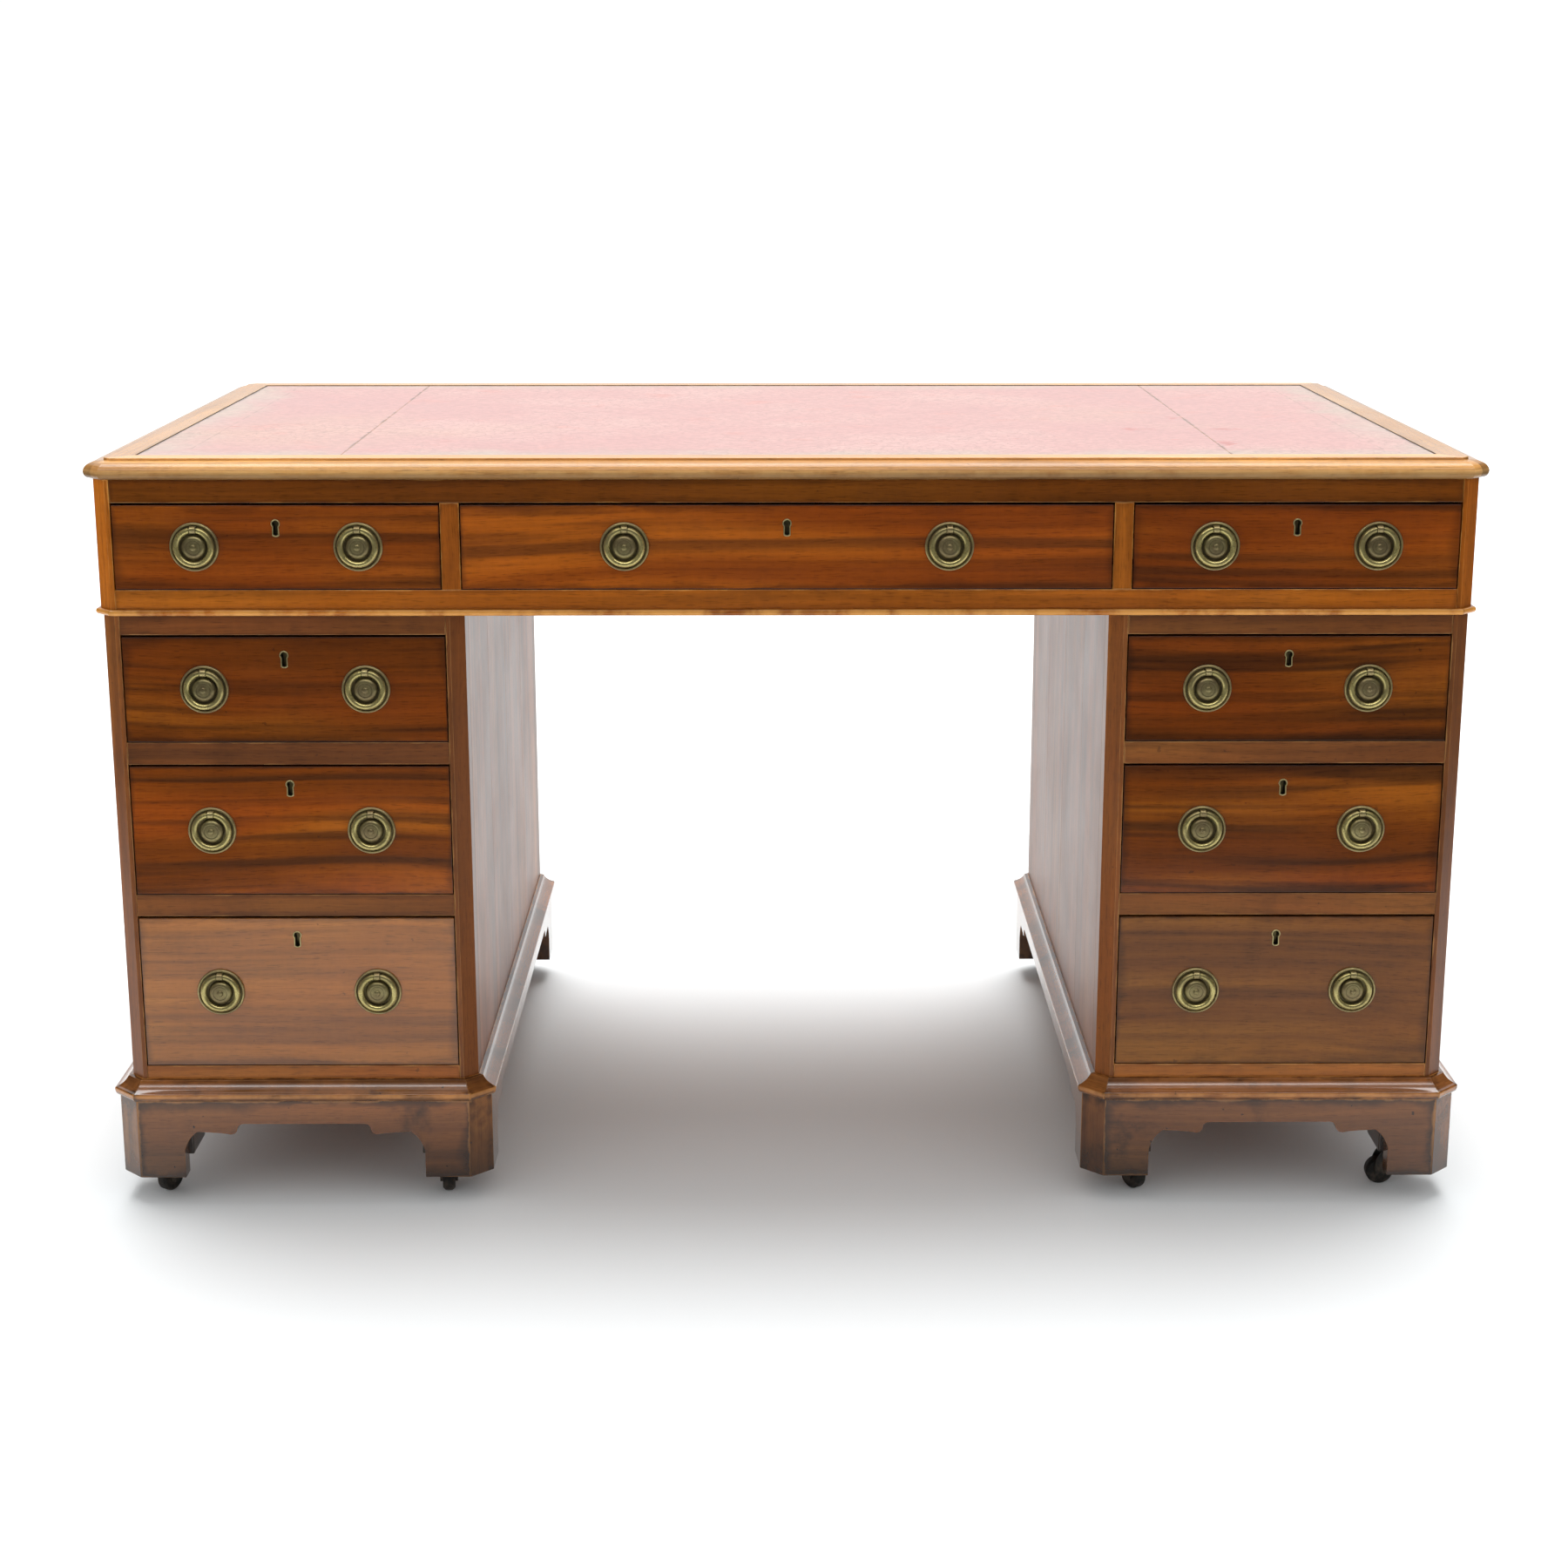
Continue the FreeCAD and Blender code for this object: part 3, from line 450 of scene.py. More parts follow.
near = maths("SUBTRACT", 1, maths("SMOOTH_MIN", maths("DIVIDE", edge, reach), 1, 0.2))
chafed = times(given["Rub"], ramp(lumps, 0.3, 0.62))
rubbed = maths("MAXIMUM", maths("MAXIMUM", near, 0), chafed)
wax_reach = times(given["Wax Reach"], ramp(clouds(place, 11, 4), 0.3, 0.8, 0.1, 1.6))
feed(result, {"Rubbed": rubbed, "Wax": ramp(maths("DIVIDE", edge, wax_reach), 1, 0)})


def polished(name, pale, flush, deep, vein, arris_wear_and_shade, veining=0.8, ripple=0.03, reach=0.0012, wax_reach=0.01,
             wax=0.4, coat=0.04, gloss=(0.14, 0.18), shine=0.36, low_darkening=0, smudge=0.15, nick=0.4):
    """Mahogany under old french polish: figure, rubbed arrises (painted shade on drawer fronts), dark wax,
    smudges, nicks, darker towards the floor.
    """
    made, shader = finish(name)
    tree = made.node_tree
    spot, half, shift, rub, tone = (
        node(tree, "Attribute", attribute_name=key).outputs
        for key in ("spot", "half", "shift", "rub", "tone"))
    figure = node(tree, "Group", {
        "Grain": vectors("ADD", spot["Vector"], shift["Vector"]), "Pale": pale, "Flush": flush,
        "Deep": deep, "Vein": vein, "Veining": veining, "Ripple": ripple,
    }, node_tree=figure_group).outputs
    edges = node(tree, "Group", {
        "Spot": spot["Vector"], "Half": half["Vector"], "Rub": rub["Fac"], "Shift": shift["Vector"],
        "Reach": reach, "Wax Reach": wax_reach,
    }, node_tree=edge_group).outputs
    place = object_place(shader)
    waxed = mixed(times(edges["Wax"], wax), figure["Color"], OLD_WAX)
    smudged = ramp(clouds(place, 15, 5, 0.65), 0.5, 0.72, 0, smudge)
    nicked = ramp(clouds(place, 110, 2), 0.72, 0.76, 0, nick)
    marked = mixed(maths("MAXIMUM", smudged, nicked), waxed, DARK_MARK)
    # The arris colour is pale wear on most boards; on the drawer fronts it is near black, painted shade along
    # the gaps.
    rubbed = mixed(times(edges["Rubbed"], 0.85), marked, arris_wear_and_shade)
    # Darker towards the floor: from 110 mm down to 25 mm the colour is scaled down, on the plinth to 0.3 of
    # itself.
    height_factor = ramp(split(place)[2], 0.025, 0.11, 1 - low_darkening, 1)
    smears = clouds(place, 7, 4)
    feed(shader, {
        "Base Color": scaled(rubbed, times(tone["Fac"], height_factor)), "Specular IOR Level": shine,
        "Roughness": ramp(smears, 0.3, 0.7, *gloss), "Coat Roughness": 0.08,
        "Coat Weight": times(ramp(smears, 0.25, 0.75, 1, 0.8), coat),
        "Normal": bumped(figure["Height"], 0.2, 0.00008),
    })
    return made


plinth_mahogany = polished(
    "plinth_mahogany", (0.29, 0.112, 0.026), (0.26, 0.086, 0.02), (0.18, 0.062, 0.015),
    (0.08, 0.027, 0.009), (0.46, 0.2, 0.055), veining=0.4, reach=0.0026, wax=0.75, wax_reach=0.016,
    coat=0.5, low_darkening=0.7, smudge=0.85, nick=0.9)
apron = np.vstack([
    curve((0, 60), (0, 81), (14.5, 81), SHALLOW),
    curve((14.5, 81), (50, 81), (50, 78), SHALLOW)[1:],
    curve((50, 78), (57, 78), (57, 84))[1:],
    curve((57, 84), (57, 90), (64, 90))[1:],
])
foot_moulding = np.vstack([
    [(0, 0)],
    curve((14.5, 0), (19, 0), (19, 7)),
    curve((19, 7), (19, 9.5), (17, 9.5))[1:],
    curve((17, 9.5), (4.8, 9.5), (4.8, 20.2), SHALLOW, 9)[1:],
    [(0, 21)],
])
foot_moulding_wear = np.where(foot_moulding[:, 0] > 18.5, 0.7, 0)


def bracket_board(begin, end):
    """A plinth board from corner to corner of its outer face, its ends mitred, sawn out between two feet."""
    along = unit(end - begin)
    half = np.hypot(*(end - begin)) / 2
    foot = half - FOOT_W
    outline = np.vstack([
        [(-half, FOOT_Z), (-foot, FOOT_Z)], apron + (-foot, 0), apron[::-1] * (-1, 1) + (foot, 0),
        [(foot, FOOT_Z), (half, FOOT_Z), (half, PLINTH_TOP_Z), (-half, PLINTH_TOP_Z)],
    ])
    lean = np.where(np.abs(outline[:, 0]) > half - 1, -MITRE * np.sign(outline[:, 0]), 0)
    axes = [(*along, 0), (0, 0, 1), (-along[1], along[0], 0)]
    return swept(outline, (0, PLINTH_T), axes, (*((begin + end) / 2), 0), 0.7, grain=0, lean=lean)


for side, (x0, x1) in PEDESTALS.items():
    outer = canted(x0, x1, PEDESTAL_Y, PLINTH_STEP)
    inner = canted(x0, x1, PEDESTAL_Y, PLINTH_STEP - PLINTH_T)
    middle = ((x0 + x1) / 2, 0)
    skins = []
    for k in range(8):
        after = (k + 1) % 8
        if k % 2:
            plan = [outer[k], outer[after], inner[after], inner[k]]
            skins.append(swept(plan, (FOOT_Z, PLINTH_TOP_Z), PLAN, ease=0.7))
        else:
            skins.append(bracket_board(outer[k], outer[after]))
    for k in (1, 3, 5, 7):
        ends = [inner[k], inner[(k + 1) % 8]]
        on_x, on_y = ends if k % 4 == 1 else ends[::-1]
        corner = np.array([on_y[0], on_x[1]])
        far = corner + np.sign(middle - corner) * BLOCK_W
        plan = [on_x, (far[0], corner[1]), far, (corner[0], far[1]), on_y]
        # Painted shade: the corner blocks, deep inside the plinth behind the feet, are painted near black
        # (tone 0.25).
        skins.append(swept(anticlockwise(plan), (CASTOR_TOP_Z, PLINTH_TOP_Z), PLAN, ease=1.5, tone=0.25))
    skins += moulding(canted(x0, x1, PEDESTAL_Y), foot_moulding, PLINTH_TOP_Z, foot_moulding_wear)
    joined(side + "_plinth_joinery", skins, "desk", side + "_plinth", plinth_mahogany)


# Pedestals
# Two drawer cases of solid mahogany: canted corner posts, sides and back of upright planks between them,
# and rails tenoned across the front. Runners and stops inside are glued and pinned.
CASE_TOP_Z = 638.5
POST_W = 18.5
POST_D = 42
BACK_T = 15
CASE_BOARD_T = 12
SIDE_PLANKS = 4
BACK_PLANKS = 3
RUNNER_W = 22
RUNNER_H = 14
STOP_L = 20
STOP_H = 24
DRAWER_L = 690
PEDESTAL_OPENINGS = {"top": (505, 618), "middle": (341, 481.5), "bottom": (151, 317.5)}
pedestal_mahogany = polished(
    "pedestal_mahogany", (0.23, 0.076, 0.01), (0.2, 0.056, 0.008), (0.15, 0.043, 0.006),
    (0.07, 0.022, 0.004), (0.36, 0.17, 0.05), veining=0.4, wax=0.2, coat=0, gloss=(0.32, 0.37),
    shine=0.28, smudge=0.25)


def corner_posts(x0, x1, y, z0, z1):
    """Four posts with a canted outer corner, in plan a square-ended board with one corner cut off."""
    made = []
    for x, x_in in ((x0, 1), (x1, -1)):
        for face, y_in in ((-y, 1), (y, -1)):
            plan = (x, face) + np.array([
                (CANT, 0), (POST_W, 0), (POST_W, POST_D), (0, POST_D), (0, CANT)]) * (x_in, y_in)
            made.append(swept(anticlockwise(plan), (z0, z1), PLAN, ease=0.7, tone=1.2))
    return made


def runners(x0, x1, z, front, back):
    """A pair of runners below an opening, each with a stop behind the drawer."""
    made = []
    stop = front + DRAWER_L
    for low in (x0, x1 - RUNNER_W):
        high = low + RUNNER_W
        made.append(board((low, front + POST_D, z - RUNNER_H), (high, back, z), 1, tone=1.3))
        made.append(board((low, stop, z), (high, stop + STOP_L, z + STOP_H), 0, tone=1.3))
    return made


for side, (x0, x1) in PEDESTALS.items():
    front, back = -PEDESTAL_Y, PEDESTAL_Y - BACK_T
    left, right = x0 + POST_W, x1 - POST_W
    inside = front + POST_D
    skins = corner_posts(x0, x1, PEDESTAL_Y, PLINTH_TOP_Z, CASE_TOP_Z)
    for x in (x0, right):
        near, far = (x, inside, PLINTH_TOP_Z), (x + POST_W, -inside, CASE_TOP_Z)
        skins += planks(near, far, 2, 1, SIDE_PLANKS, tone=1.5)
    skins += planks((left, back, PLINTH_TOP_Z), (right, PEDESTAL_Y, CASE_TOP_Z), 2, 0, BACK_PLANKS)
    for z in (PLINTH_TOP_Z, CASE_TOP_Z - CASE_BOARD_T):
        skins.append(board((left, inside, z), (right, back, z + CASE_BOARD_T), 0))
    rail_top = CASE_TOP_Z
    for low, high in PEDESTAL_OPENINGS.values():
        skins.append(board((left, front, high), (right, inside, rail_top), 0))
        skins += runners(left, right, low, front, back)
        rail_top = low
    skins.append(board((left, front, PLINTH_TOP_Z), (right, inside, rail_top), 0, tone=1.6))
    joined(side + "_pedestal_joinery", skins, "desk", side + "_pedestal_carcass",
           pedestal_mahogany)


# Frieze
# A shallow case that rests on both pedestals: canted posts, ends, back, front rails and muntins of
# mahogany, tenoned together, with a small bead mitred round its lower edge to hide the joint.
FRIEZE_X = 703
FRIEZE_Y = 399.5
FRIEZE_TOP_Z = 778
FRIEZE_OPENING = (665, 754)
FRIEZE_OPENINGS = {"left": (-684.5, -351.5), "centre": (-332, 332), "right": (351.5, 684.5)}
frieze_mahogany = polished(
    "frieze_mahogany", (0.32, 0.091, 0.006), (0.29, 0.075, 0.004), (0.245, 0.063, 0.004),
    (0.13, 0.037, 0.003), (0.5, 0.23, 0.05), veining=0.3, wax=0.3)
front, back = -FRIEZE_Y, FRIEZE_Y - BACK_T
end = FRIEZE_X - POST_W
low, high = FRIEZE_OPENING
inside = front + POST_D
skins = corner_posts(-FRIEZE_X, FRIEZE_X, FRIEZE_Y, CASE_TOP_Z, FRIEZE_TOP_Z)
for x in (-FRIEZE_X, end):
    skins.append(board((x, inside, CASE_TOP_Z), (x + POST_W, -inside, FRIEZE_TOP_Z), 1))
skins += [
    board((-end, back, CASE_TOP_Z), (end, FRIEZE_Y, FRIEZE_TOP_Z), 0),
    board((-end, front, CASE_TOP_Z), (end, inside, low), 0, tone=1.1),
    # Painted shade: the top rail, under the overhanging nosing, is painted darker (tone 0.48).
    board((-end, front, high), (end, inside, FRIEZE_TOP_Z), 0, tone=0.48),
]
spans = list(FRIEZE_OPENINGS.values())
for (_, x0), (x1, _) in zip(spans, spans[1:]):
    skins.append(board((x0, front, low), (x1, inside, high), 2))
    skins.append(board((x0, inside, CASE_TOP_Z), (x1, back, FRIEZE_TOP_Z), 1))
for x0, x1 in spans:
    skins += runners(x0, x1, low, front, back)
bead = np.vstack([
    [(0, 0)],
    curve((1.75, 0), (5, 0), (5, 3.25), count=5),
    curve((5, 3.25), (5, 6.5), (1.75, 6.5), count=5)[1:],
    [(0, 6.5)],
])
bead_wear = np.where(bead[:, 0] > 3, 1, 0)
skins += moulding(canted(-FRIEZE_X, FRIEZE_X, FRIEZE_Y), bead, CASE_TOP_Z, bead_wear, 0.2)
joined("frieze_joinery", skins, "desk", "frieze_carcass", frieze_mahogany)


# Moulded top
# Four border rails mitred round a ground board, with a stepped thumbnail nosing worked on the outer edge
# and carried round the canted corners. Solid mahogany, bleached to honey by light, waxed and rubbed.
TOP_X = 712
TOP_Y = 408.5
TOP_Z = 798
TOP_STEP = 9
TOP_CANT = CANT + CANT_GROWTH * TOP_STEP
BORDER_IN = 47
BORDER_MITRE_GAP = 0.06
GROUND_PLANKS = 4
HIDE_T = 1.2
# Painted light: the front border rail is painted lighter than the other three.
FRONT_RAIL_PAINTED_LIGHT = 1.45
# Painted shade: the border's inner wall beside the leather is painted near black.
INNER_WALL_PAINTED_SHADE = 0.12
top_mahogany = polished(
    "top_mahogany", (0.55, 0.285, 0.085), (0.5, 0.24, 0.068), (0.42, 0.2, 0.06),
    (0.27, 0.125, 0.045), (0.66, 0.4, 0.16), veining=0.6, wax=0.25, wax_reach=0.005, coat=0.05,
    gloss=(0.2, 0.26), shine=0.24)
nosing = np.vstack([
    [(-BORDER_IN, 0)],
    curve((-6, 0), (0, 0), (0, 7)),
    curve((0, 7), (0, 17.5), (-18, 17.5), count=12)[1:],
    [(-20, 17.5), (-20, 20), (-BORDER_IN, 20)],
])


def border_rail(along_half, across_half, turn, tone):
    """The nosing's profile carried along one side of the top and half way round its two cants.

    A profile point that lies d inside the edge follows the side moved in by d, whose cant has shrunk by
    0.586 d; the cant's two corners are rounded as any arris, and the ends lie in the mitre planes.
    """
    flat, out, rub = eased(nosing, 0.5)[:3]
    inset = -flat[:, 0]
    cant = np.maximum(TOP_CANT - CANT_GROWTH * inset, 1)
    x, y = along_half - inset, across_half - inset
    mitre_left = stacked(-x + cant / 2, -y + cant / 2)
    corner_left = stacked(-x + cant, -y)
    slant = np.array([1, -1]) * math.sqrt(0.5)
    back = np.minimum(0.8 * MITRE, 0.2 * cant)[:, None]
    before, beyond = corner_left - slant * back, corner_left + np.array([1, 0]) * back
    half = np.stack([mitre_left, before, (before + 2 * corner_left + beyond) / 4, beyond])
    half[0, :, 0] += BORDER_MITRE_GAP
    path = np.vstack([half, half[::-1] * (-1, 1)])
    facing = unit(np.array([(-1, -1), (-1, -1), (-1, -2.4142), (0, -1)], float))
    facing = np.vstack([facing, facing[::-1] * (-1, 1)])[:, None]
    points = stacked(path[..., 0], path[..., 1], flat[:, 1] + FRIEZE_TOP_Z)
    normals = stacked(facing[..., 0] * out[:, 0], facing[..., 1] * out[:, 0], out[:, 1])
    local = stacked(points[..., 0], flat[:, 0], points[..., 2]).reshape(-1, 3)
    rub = np.maximum(rub + 0.5 * (flat[:, 0] > -1), 0.8 * np.isin(np.arange(8), (2, 5))[:, None])
    index = np.arange(8 * len(flat)).reshape(8, -1)
    faces = [bands(index)[:, TURNED_ROUND], index[:1], index[-1:, ::-1]]
    c, s = round(math.cos(turn)), round(math.sin(turn))
    spin = np.array([(c, s, 0), (-s, c, 0), (0, 0, 1)], float)
    # Painted shade and highlight: the tone falls from 1.08 on the top face to 0.76 above the nose and 0.34
    # under it.
    shade = np.interp(flat[:, 1], [0, 6, 8, 17, 18, 20], [0.34, 0.4, 0.76, 0.86, 1, 1.08])
    shade = np.where(flat[:, 0] < 0.1 - BORDER_IN, INNER_WALL_PAINTED_SHADE, shade)
    shade = np.broadcast_to(tone * shade, path.shape[:2]).reshape(-1)
    points, normals = points.reshape(-1, 3) @ spin, normals.reshape(-1, 3) @ spin
    return skin(points, normals, faces, local, rub.reshape(-1), shade)


ground_x, ground_y = TOP_X - BORDER_IN, TOP_Y - BORDER_IN
skins = []
for quarter, sides in enumerate(((TOP_X, TOP_Y), (TOP_Y, TOP_X)) * 2):
    skins.append(border_rail(*sides, quarter * math.pi / 2, 1 if quarter else FRONT_RAIL_PAINTED_LIGHT))
near, far = (-ground_x, -ground_y, FRIEZE_TOP_Z), (ground_x, ground_y, TOP_Z - HIDE_T)
skins += planks(near, far, 0, 1, GROUND_PLANKS)
joined("moulded_top", skins, "desk", "top_frame", top_mahogany)


# Leather
# Three skivers of calf glued to the ground board inside the border, once deep red and now faded to
# pink, butted at two seams, with a tooled line set in from the edge. Waxed, scuffed and a little cracked.
SEAM_X = 456
SEAM_GAP = 0.4
FRONT_GAP = 0.6
BACK_GAP = 1.2
HIDE_SINK = 0.8
HIDE_WAVE = 0.06
HIDE_MARGIN = 4
HIDE_STEPS = 41
TOOLED_IN = 0.045
SCUFF_RED = (0.42, 0.05, 0.035)
SCUFFS = (
    (0.388, -0.13, 0.018, 0.014), (0.484, -0.13, 0.026, 0.012), (0.465, -0.26, 0.012, 0.024),
    (0.445, -0.02, 0.01, 0.014),
)


def shell(points, closed=(False, False), rub=0, tone=1):
    """A closed surface over a grid of points; a sheet's rim and a tube's two ends get flat lids.

    Normals are the cross product of the central differences along the two grid directions; if the
    volume inside comes out negative, faces and normals are turned round.
    """
    shape = points.shape[:2]
    index = np.arange(points.size // 3).reshape(shape)
    rim = np.hstack([index[:-1, 0], index[-1, :-1], index[:0:-1, -1], index[0, :0:-1]])
    lids = {(False, False): [rim], (False, True): [index[0, ::-1], index[-1]]}.get(closed, [])
    tall = np.pad(index, ((1, 1), (0, 0)), "wrap" if closed[0] else "edge")
    wide = np.pad(index, ((0, 0), (1, 1)), "wrap" if closed[1] else "edge")
    before, ahead, left, right = tall[:-2], tall[2:], wide[:, :-2], wide[:, 2:]
    flat = points.reshape(-1, 3)
    normals = unit(np.cross(flat[right] - flat[left], flat[ahead] - flat[before])).reshape(-1, 3)
    keep = tuple(slice(None if way else -1) for way in closed)
    opposite = right.reshape(-1)[ahead]
    quads = np.stack([index[keep], right[keep], opposite[keep], ahead[keep]], -1).reshape(-1, 4)
    faces = [quads] + [lid[None] for lid in lids]
    p, q, r, s = flat[quads.T]
    volume = np.sum(np.cross(p, q) * r + np.cross(p, r) * s)
    for lid in lids:
        ring = flat[lid]
        volume += np.sum(np.cross(ring[:1], ring[1:-1]) * ring[2:])
    if volume < 0:
        faces = [face[:, ::-1] for face in faces]
        normals = -normals
    rub, tone = (np.broadcast_to(value, shape).reshape(-1) for value in (rub, tone))
    return skin(flat, normals, faces, flat, rub, tone)


def hide(x0, x1):
    """A thin skin from x0 to x1: the height climbs from its cut edge over a millimetre, and the face
    between lies in slow waves a tenth of a millimetre high, as a sum of two products of sines."""
    rise = np.array([0, 0.55, 0.85, 1])
    step = np.array([0, 0, 0.4, 1.4])
    x, y = (
        np.hstack([
            start + step, np.linspace(start + HIDE_MARGIN, end - HIDE_MARGIN, HIDE_STEPS), end - step[::-1]])
        for start, end in ((x0, x1), (-ground_y + FRONT_GAP, ground_y - BACK_GAP)))
    x = x[:, None]
    climb = np.hstack([rise, np.ones(HIDE_STEPS), rise[::-1]])
    height = np.minimum(climb[:, None], climb)
    wave = np.sin(x / 71) * np.sin(y / 53) + 0.6 * np.sin(x / 29 + 1) * np.sin(y / 37 + 2)
    low, high = TOP_Z - HIDE_T, TOP_Z - HIDE_SINK
    z = low + (high - low) * height + HIDE_WAVE * wave * (height == 1) - HIDE_WAVE
    return shell(stacked(x, y, z))


leather, shader = finish("faded_leather")
place = object_place(shader)
x, y = split(place)[:2]
from_middle = maths("ABSOLUTE", x)
from_end = maths("SUBTRACT", ground_x / 1000, from_middle)
from_side = maths("SUBTRACT", ground_y / 1000, maths("ABSOLUTE", y))
from_edge = maths("MINIMUM", from_end, from_side)
from_back = maths("SUBTRACT", ground_y / 1000, y)
from_seam = maths("ABSOLUTE", maths("SUBTRACT", from_middle, SEAM_X / 1000))
blotch = clouds(place, 4, 5)
fading = clouds(place, 1.7)
pebble = clouds(place, 900, 2)
lumps = clouds(place, 40, 4)
base = mixed(ramp(blotch, 0.35, 0.7), (0.47, 0.188, 0.168), (0.54, 0.302, 0.272))
base = mixed(ramp(fading, 0.5, 0.72, 0, 0.6), base, (0.5, 0.29, 0.2))
base = mixed(ramp(clouds(place, 15, 6), 0.55, 0.74, 0, 0.4), base, (0.56, 0.17, 0.13))
ragged = clouds(place, 11, 6, 0.65)
soiled = ramp(maths("MULTIPLY_ADD", ragged, 0.16, from_edge), 0.15, 0.06)
grime_edge = maths("MINIMUM", maths("MINIMUM", from_end, from_back), maths("ADD", from_seam, 0.0018))
grime = ramp(maths("DIVIDE", grime_edge, ramp(lumps, 0.3, 0.7, 0.5, 1.4)), 0.0042, 0.0014)
off_line = maths("ABSOLUTE", maths("SUBTRACT", from_edge, TOOLED_IN))
tooled = times(ramp(off_line, 0.0014, 0.0005), ramp(lumps, 0.38, 0.58))
scratch = ramp(streaks(place, (14, 60, 1), 4), 0.7, 0.74)
marks = [
    (soiled, 0.75, (0.42, 0.34, 0.26)), (grime, 0.85, (0.1, 0.055, 0.045)),
    (tooled, 0.6, (0.26, 0.15, 0.11)), (scratch, 0.7, (0.45, 0.06, 0.03)),
]
scrape = streaks(place, (70, 190, 1), 4)
for scuff_x, scuff_y, scuff_w, scuff_d in SCUFFS:
    off_x = maths("DIVIDE", maths("SUBTRACT", x, scuff_x), scuff_w)
    off_y = maths("DIVIDE", maths("SUBTRACT", y, scuff_y), scuff_d)
    away = maths("SQRT", maths("ADD", maths("POWER", off_x, 2), maths("POWER", off_y, 2)))
    marks.append((ramp(maths("MULTIPLY_ADD", scrape, 5, away), 3.5, 2.6), 0.75, SCUFF_RED))
for mark, share, colour in marks:
    base = mixed(times(mark, share), base, colour)
drift = wired("TexNoise", {"Vector": place, "Scale": 60}, 1)
strayed = vectors("MULTIPLY_ADD", drift, (0.006, 0.006, 0.006), place)
cell_edge = wired("TexVoronoi", {"Vector": strayed, "Scale": 85}, feature="DISTANCE_TO_EDGE")
crackle = times(ramp(cell_edge, 0.09, 0), ramp(blotch, 0.38, 0.62))
speckle = ramp(clouds(place, 140, 4), 0.25, 0.75, 0.85, 1.11)
worn_tone = times(speckle, ramp(crackle, 0, 1, 1, 0.82))
height = maths("SUBTRACT", times(pebble, 0.3), maths("MAXIMUM", tooled, crackle))
feed(shader, {
    "Base Color": scaled(base, worn_tone), "Roughness": ramp(blotch, 0.3, 0.7, 0.38, 0.52),
    "Coat Weight": ramp(blotch, 0.3, 0.7, 0.5, 0.3), "Coat Roughness": 0.22,
    "Specular IOR Level": 0.5, "Normal": bumped(height, 0.3, 0.0004),
})
seams = [-ground_x, -SEAM_X, SEAM_X, ground_x]
skins = [hide(x0 + SEAM_GAP, x1 - SEAM_GAP) for x0, x1 in zip(seams, seams[1:])]
joined("leather_hides", skins, "desk", "leather_top", leather)


# Drawers
# Nine drawers with figured mahogany fronts, lap-dovetailed to thin sides of paler mahogany, a flat bottom
# and a low back. A keyhole is cut high in the middle of each front and a lock let in behind it.
SIDE_GAP = 1
TOP_GAP = 2.4
FRONT_LIFT = 0.8
FRONT_T = 20
LAP_T = 6
LINING_T = 10
LINING_DROP = 8
BOTTOM_RAISE = 8
BOTTOM_T = 6
BACK_DROP = 6
TAIL_PITCH = 27
TAIL_END_GAP = 5
TAIL_ROOT_GAP = 11
LOCK_W = 56
LOCK_H = 40
LOCK_T = 10
LOCK_PROUD = 0.5
KEYHOLE_DROP = 25.5
KEYHOLE_R = 4.6
KEYHOLE_SKIRT = 13.4
KEYHOLE_FOOT = 3.6
KEYHOLE_NECK = 3.4
KEYHOLE_SAG = 1.4
PULL_SPACING = {"frieze_centre_drawer": 330}
NARROW_SPACING = 166
FRONT_TONES = {
    "frieze_left_drawer": 0.83, "frieze_centre_drawer": 1.02, "frieze_right_drawer": 0.8,
    "left_top_drawer": 0.7, "left_middle_drawer": 0.98, "left_bottom_drawer": 1.35,
    "right_top_drawer": 0.66, "right_middle_drawer": 0.86, "right_bottom_drawer": 0.74,
}
UPRIGHT = PLAN[[0, 2, 1]]
SIDEWAYS = PLAN[[1, 2, 0]]
# Painted shade: the drawer fronts' arrises are painted near black for the shade in the gaps round each
# drawer.
ARRIS_PAINTED_SHADE = (0.03, 0.01, 0.004)
front_finishes = {
    "frieze": polished(
        "frieze_drawer_mahogany", (0.33, 0.08, 0.004), (0.28, 0.053, 0.002), (0.18, 0.035, 0.002),
        (0.045, 0.014, 0.004), ARRIS_PAINTED_SHADE, veining=0.65, wax_reach=0.012),
    "upper": polished(
        "drawer_mahogany", (0.33, 0.09, 0.005), (0.26, 0.052, 0.003), (0.15, 0.034, 0.002),
        (0.04, 0.014, 0.004), ARRIS_PAINTED_SHADE, veining=0.75, ripple=0.045, wax_reach=0.012),
}
for side, coat, shine in (("left", 0.45, 0.36), ("right", 0, 0.24)):
    front_finishes[side + "_bottom"] = polished(
        side + "_plain_mahogany", (0.3, 0.112, 0.017), (0.27, 0.088, 0.013), (0.2, 0.066, 0.011),
        (0.09, 0.03, 0.008), ARRIS_PAINTED_SHADE, veining=0.5, ripple=0.035, wax_reach=0.012, coat=coat,
        shine=shine)
lining_wood = polished(
    "drawer_lining", (0.42, 0.22, 0.09), (0.4, 0.19, 0.075), (0.3, 0.14, 0.055),
    (0.2, 0.09, 0.035), (0.5, 0.3, 0.14), veining=0.4, wax=0.5, coat=0, gloss=(0.6, 0.75))


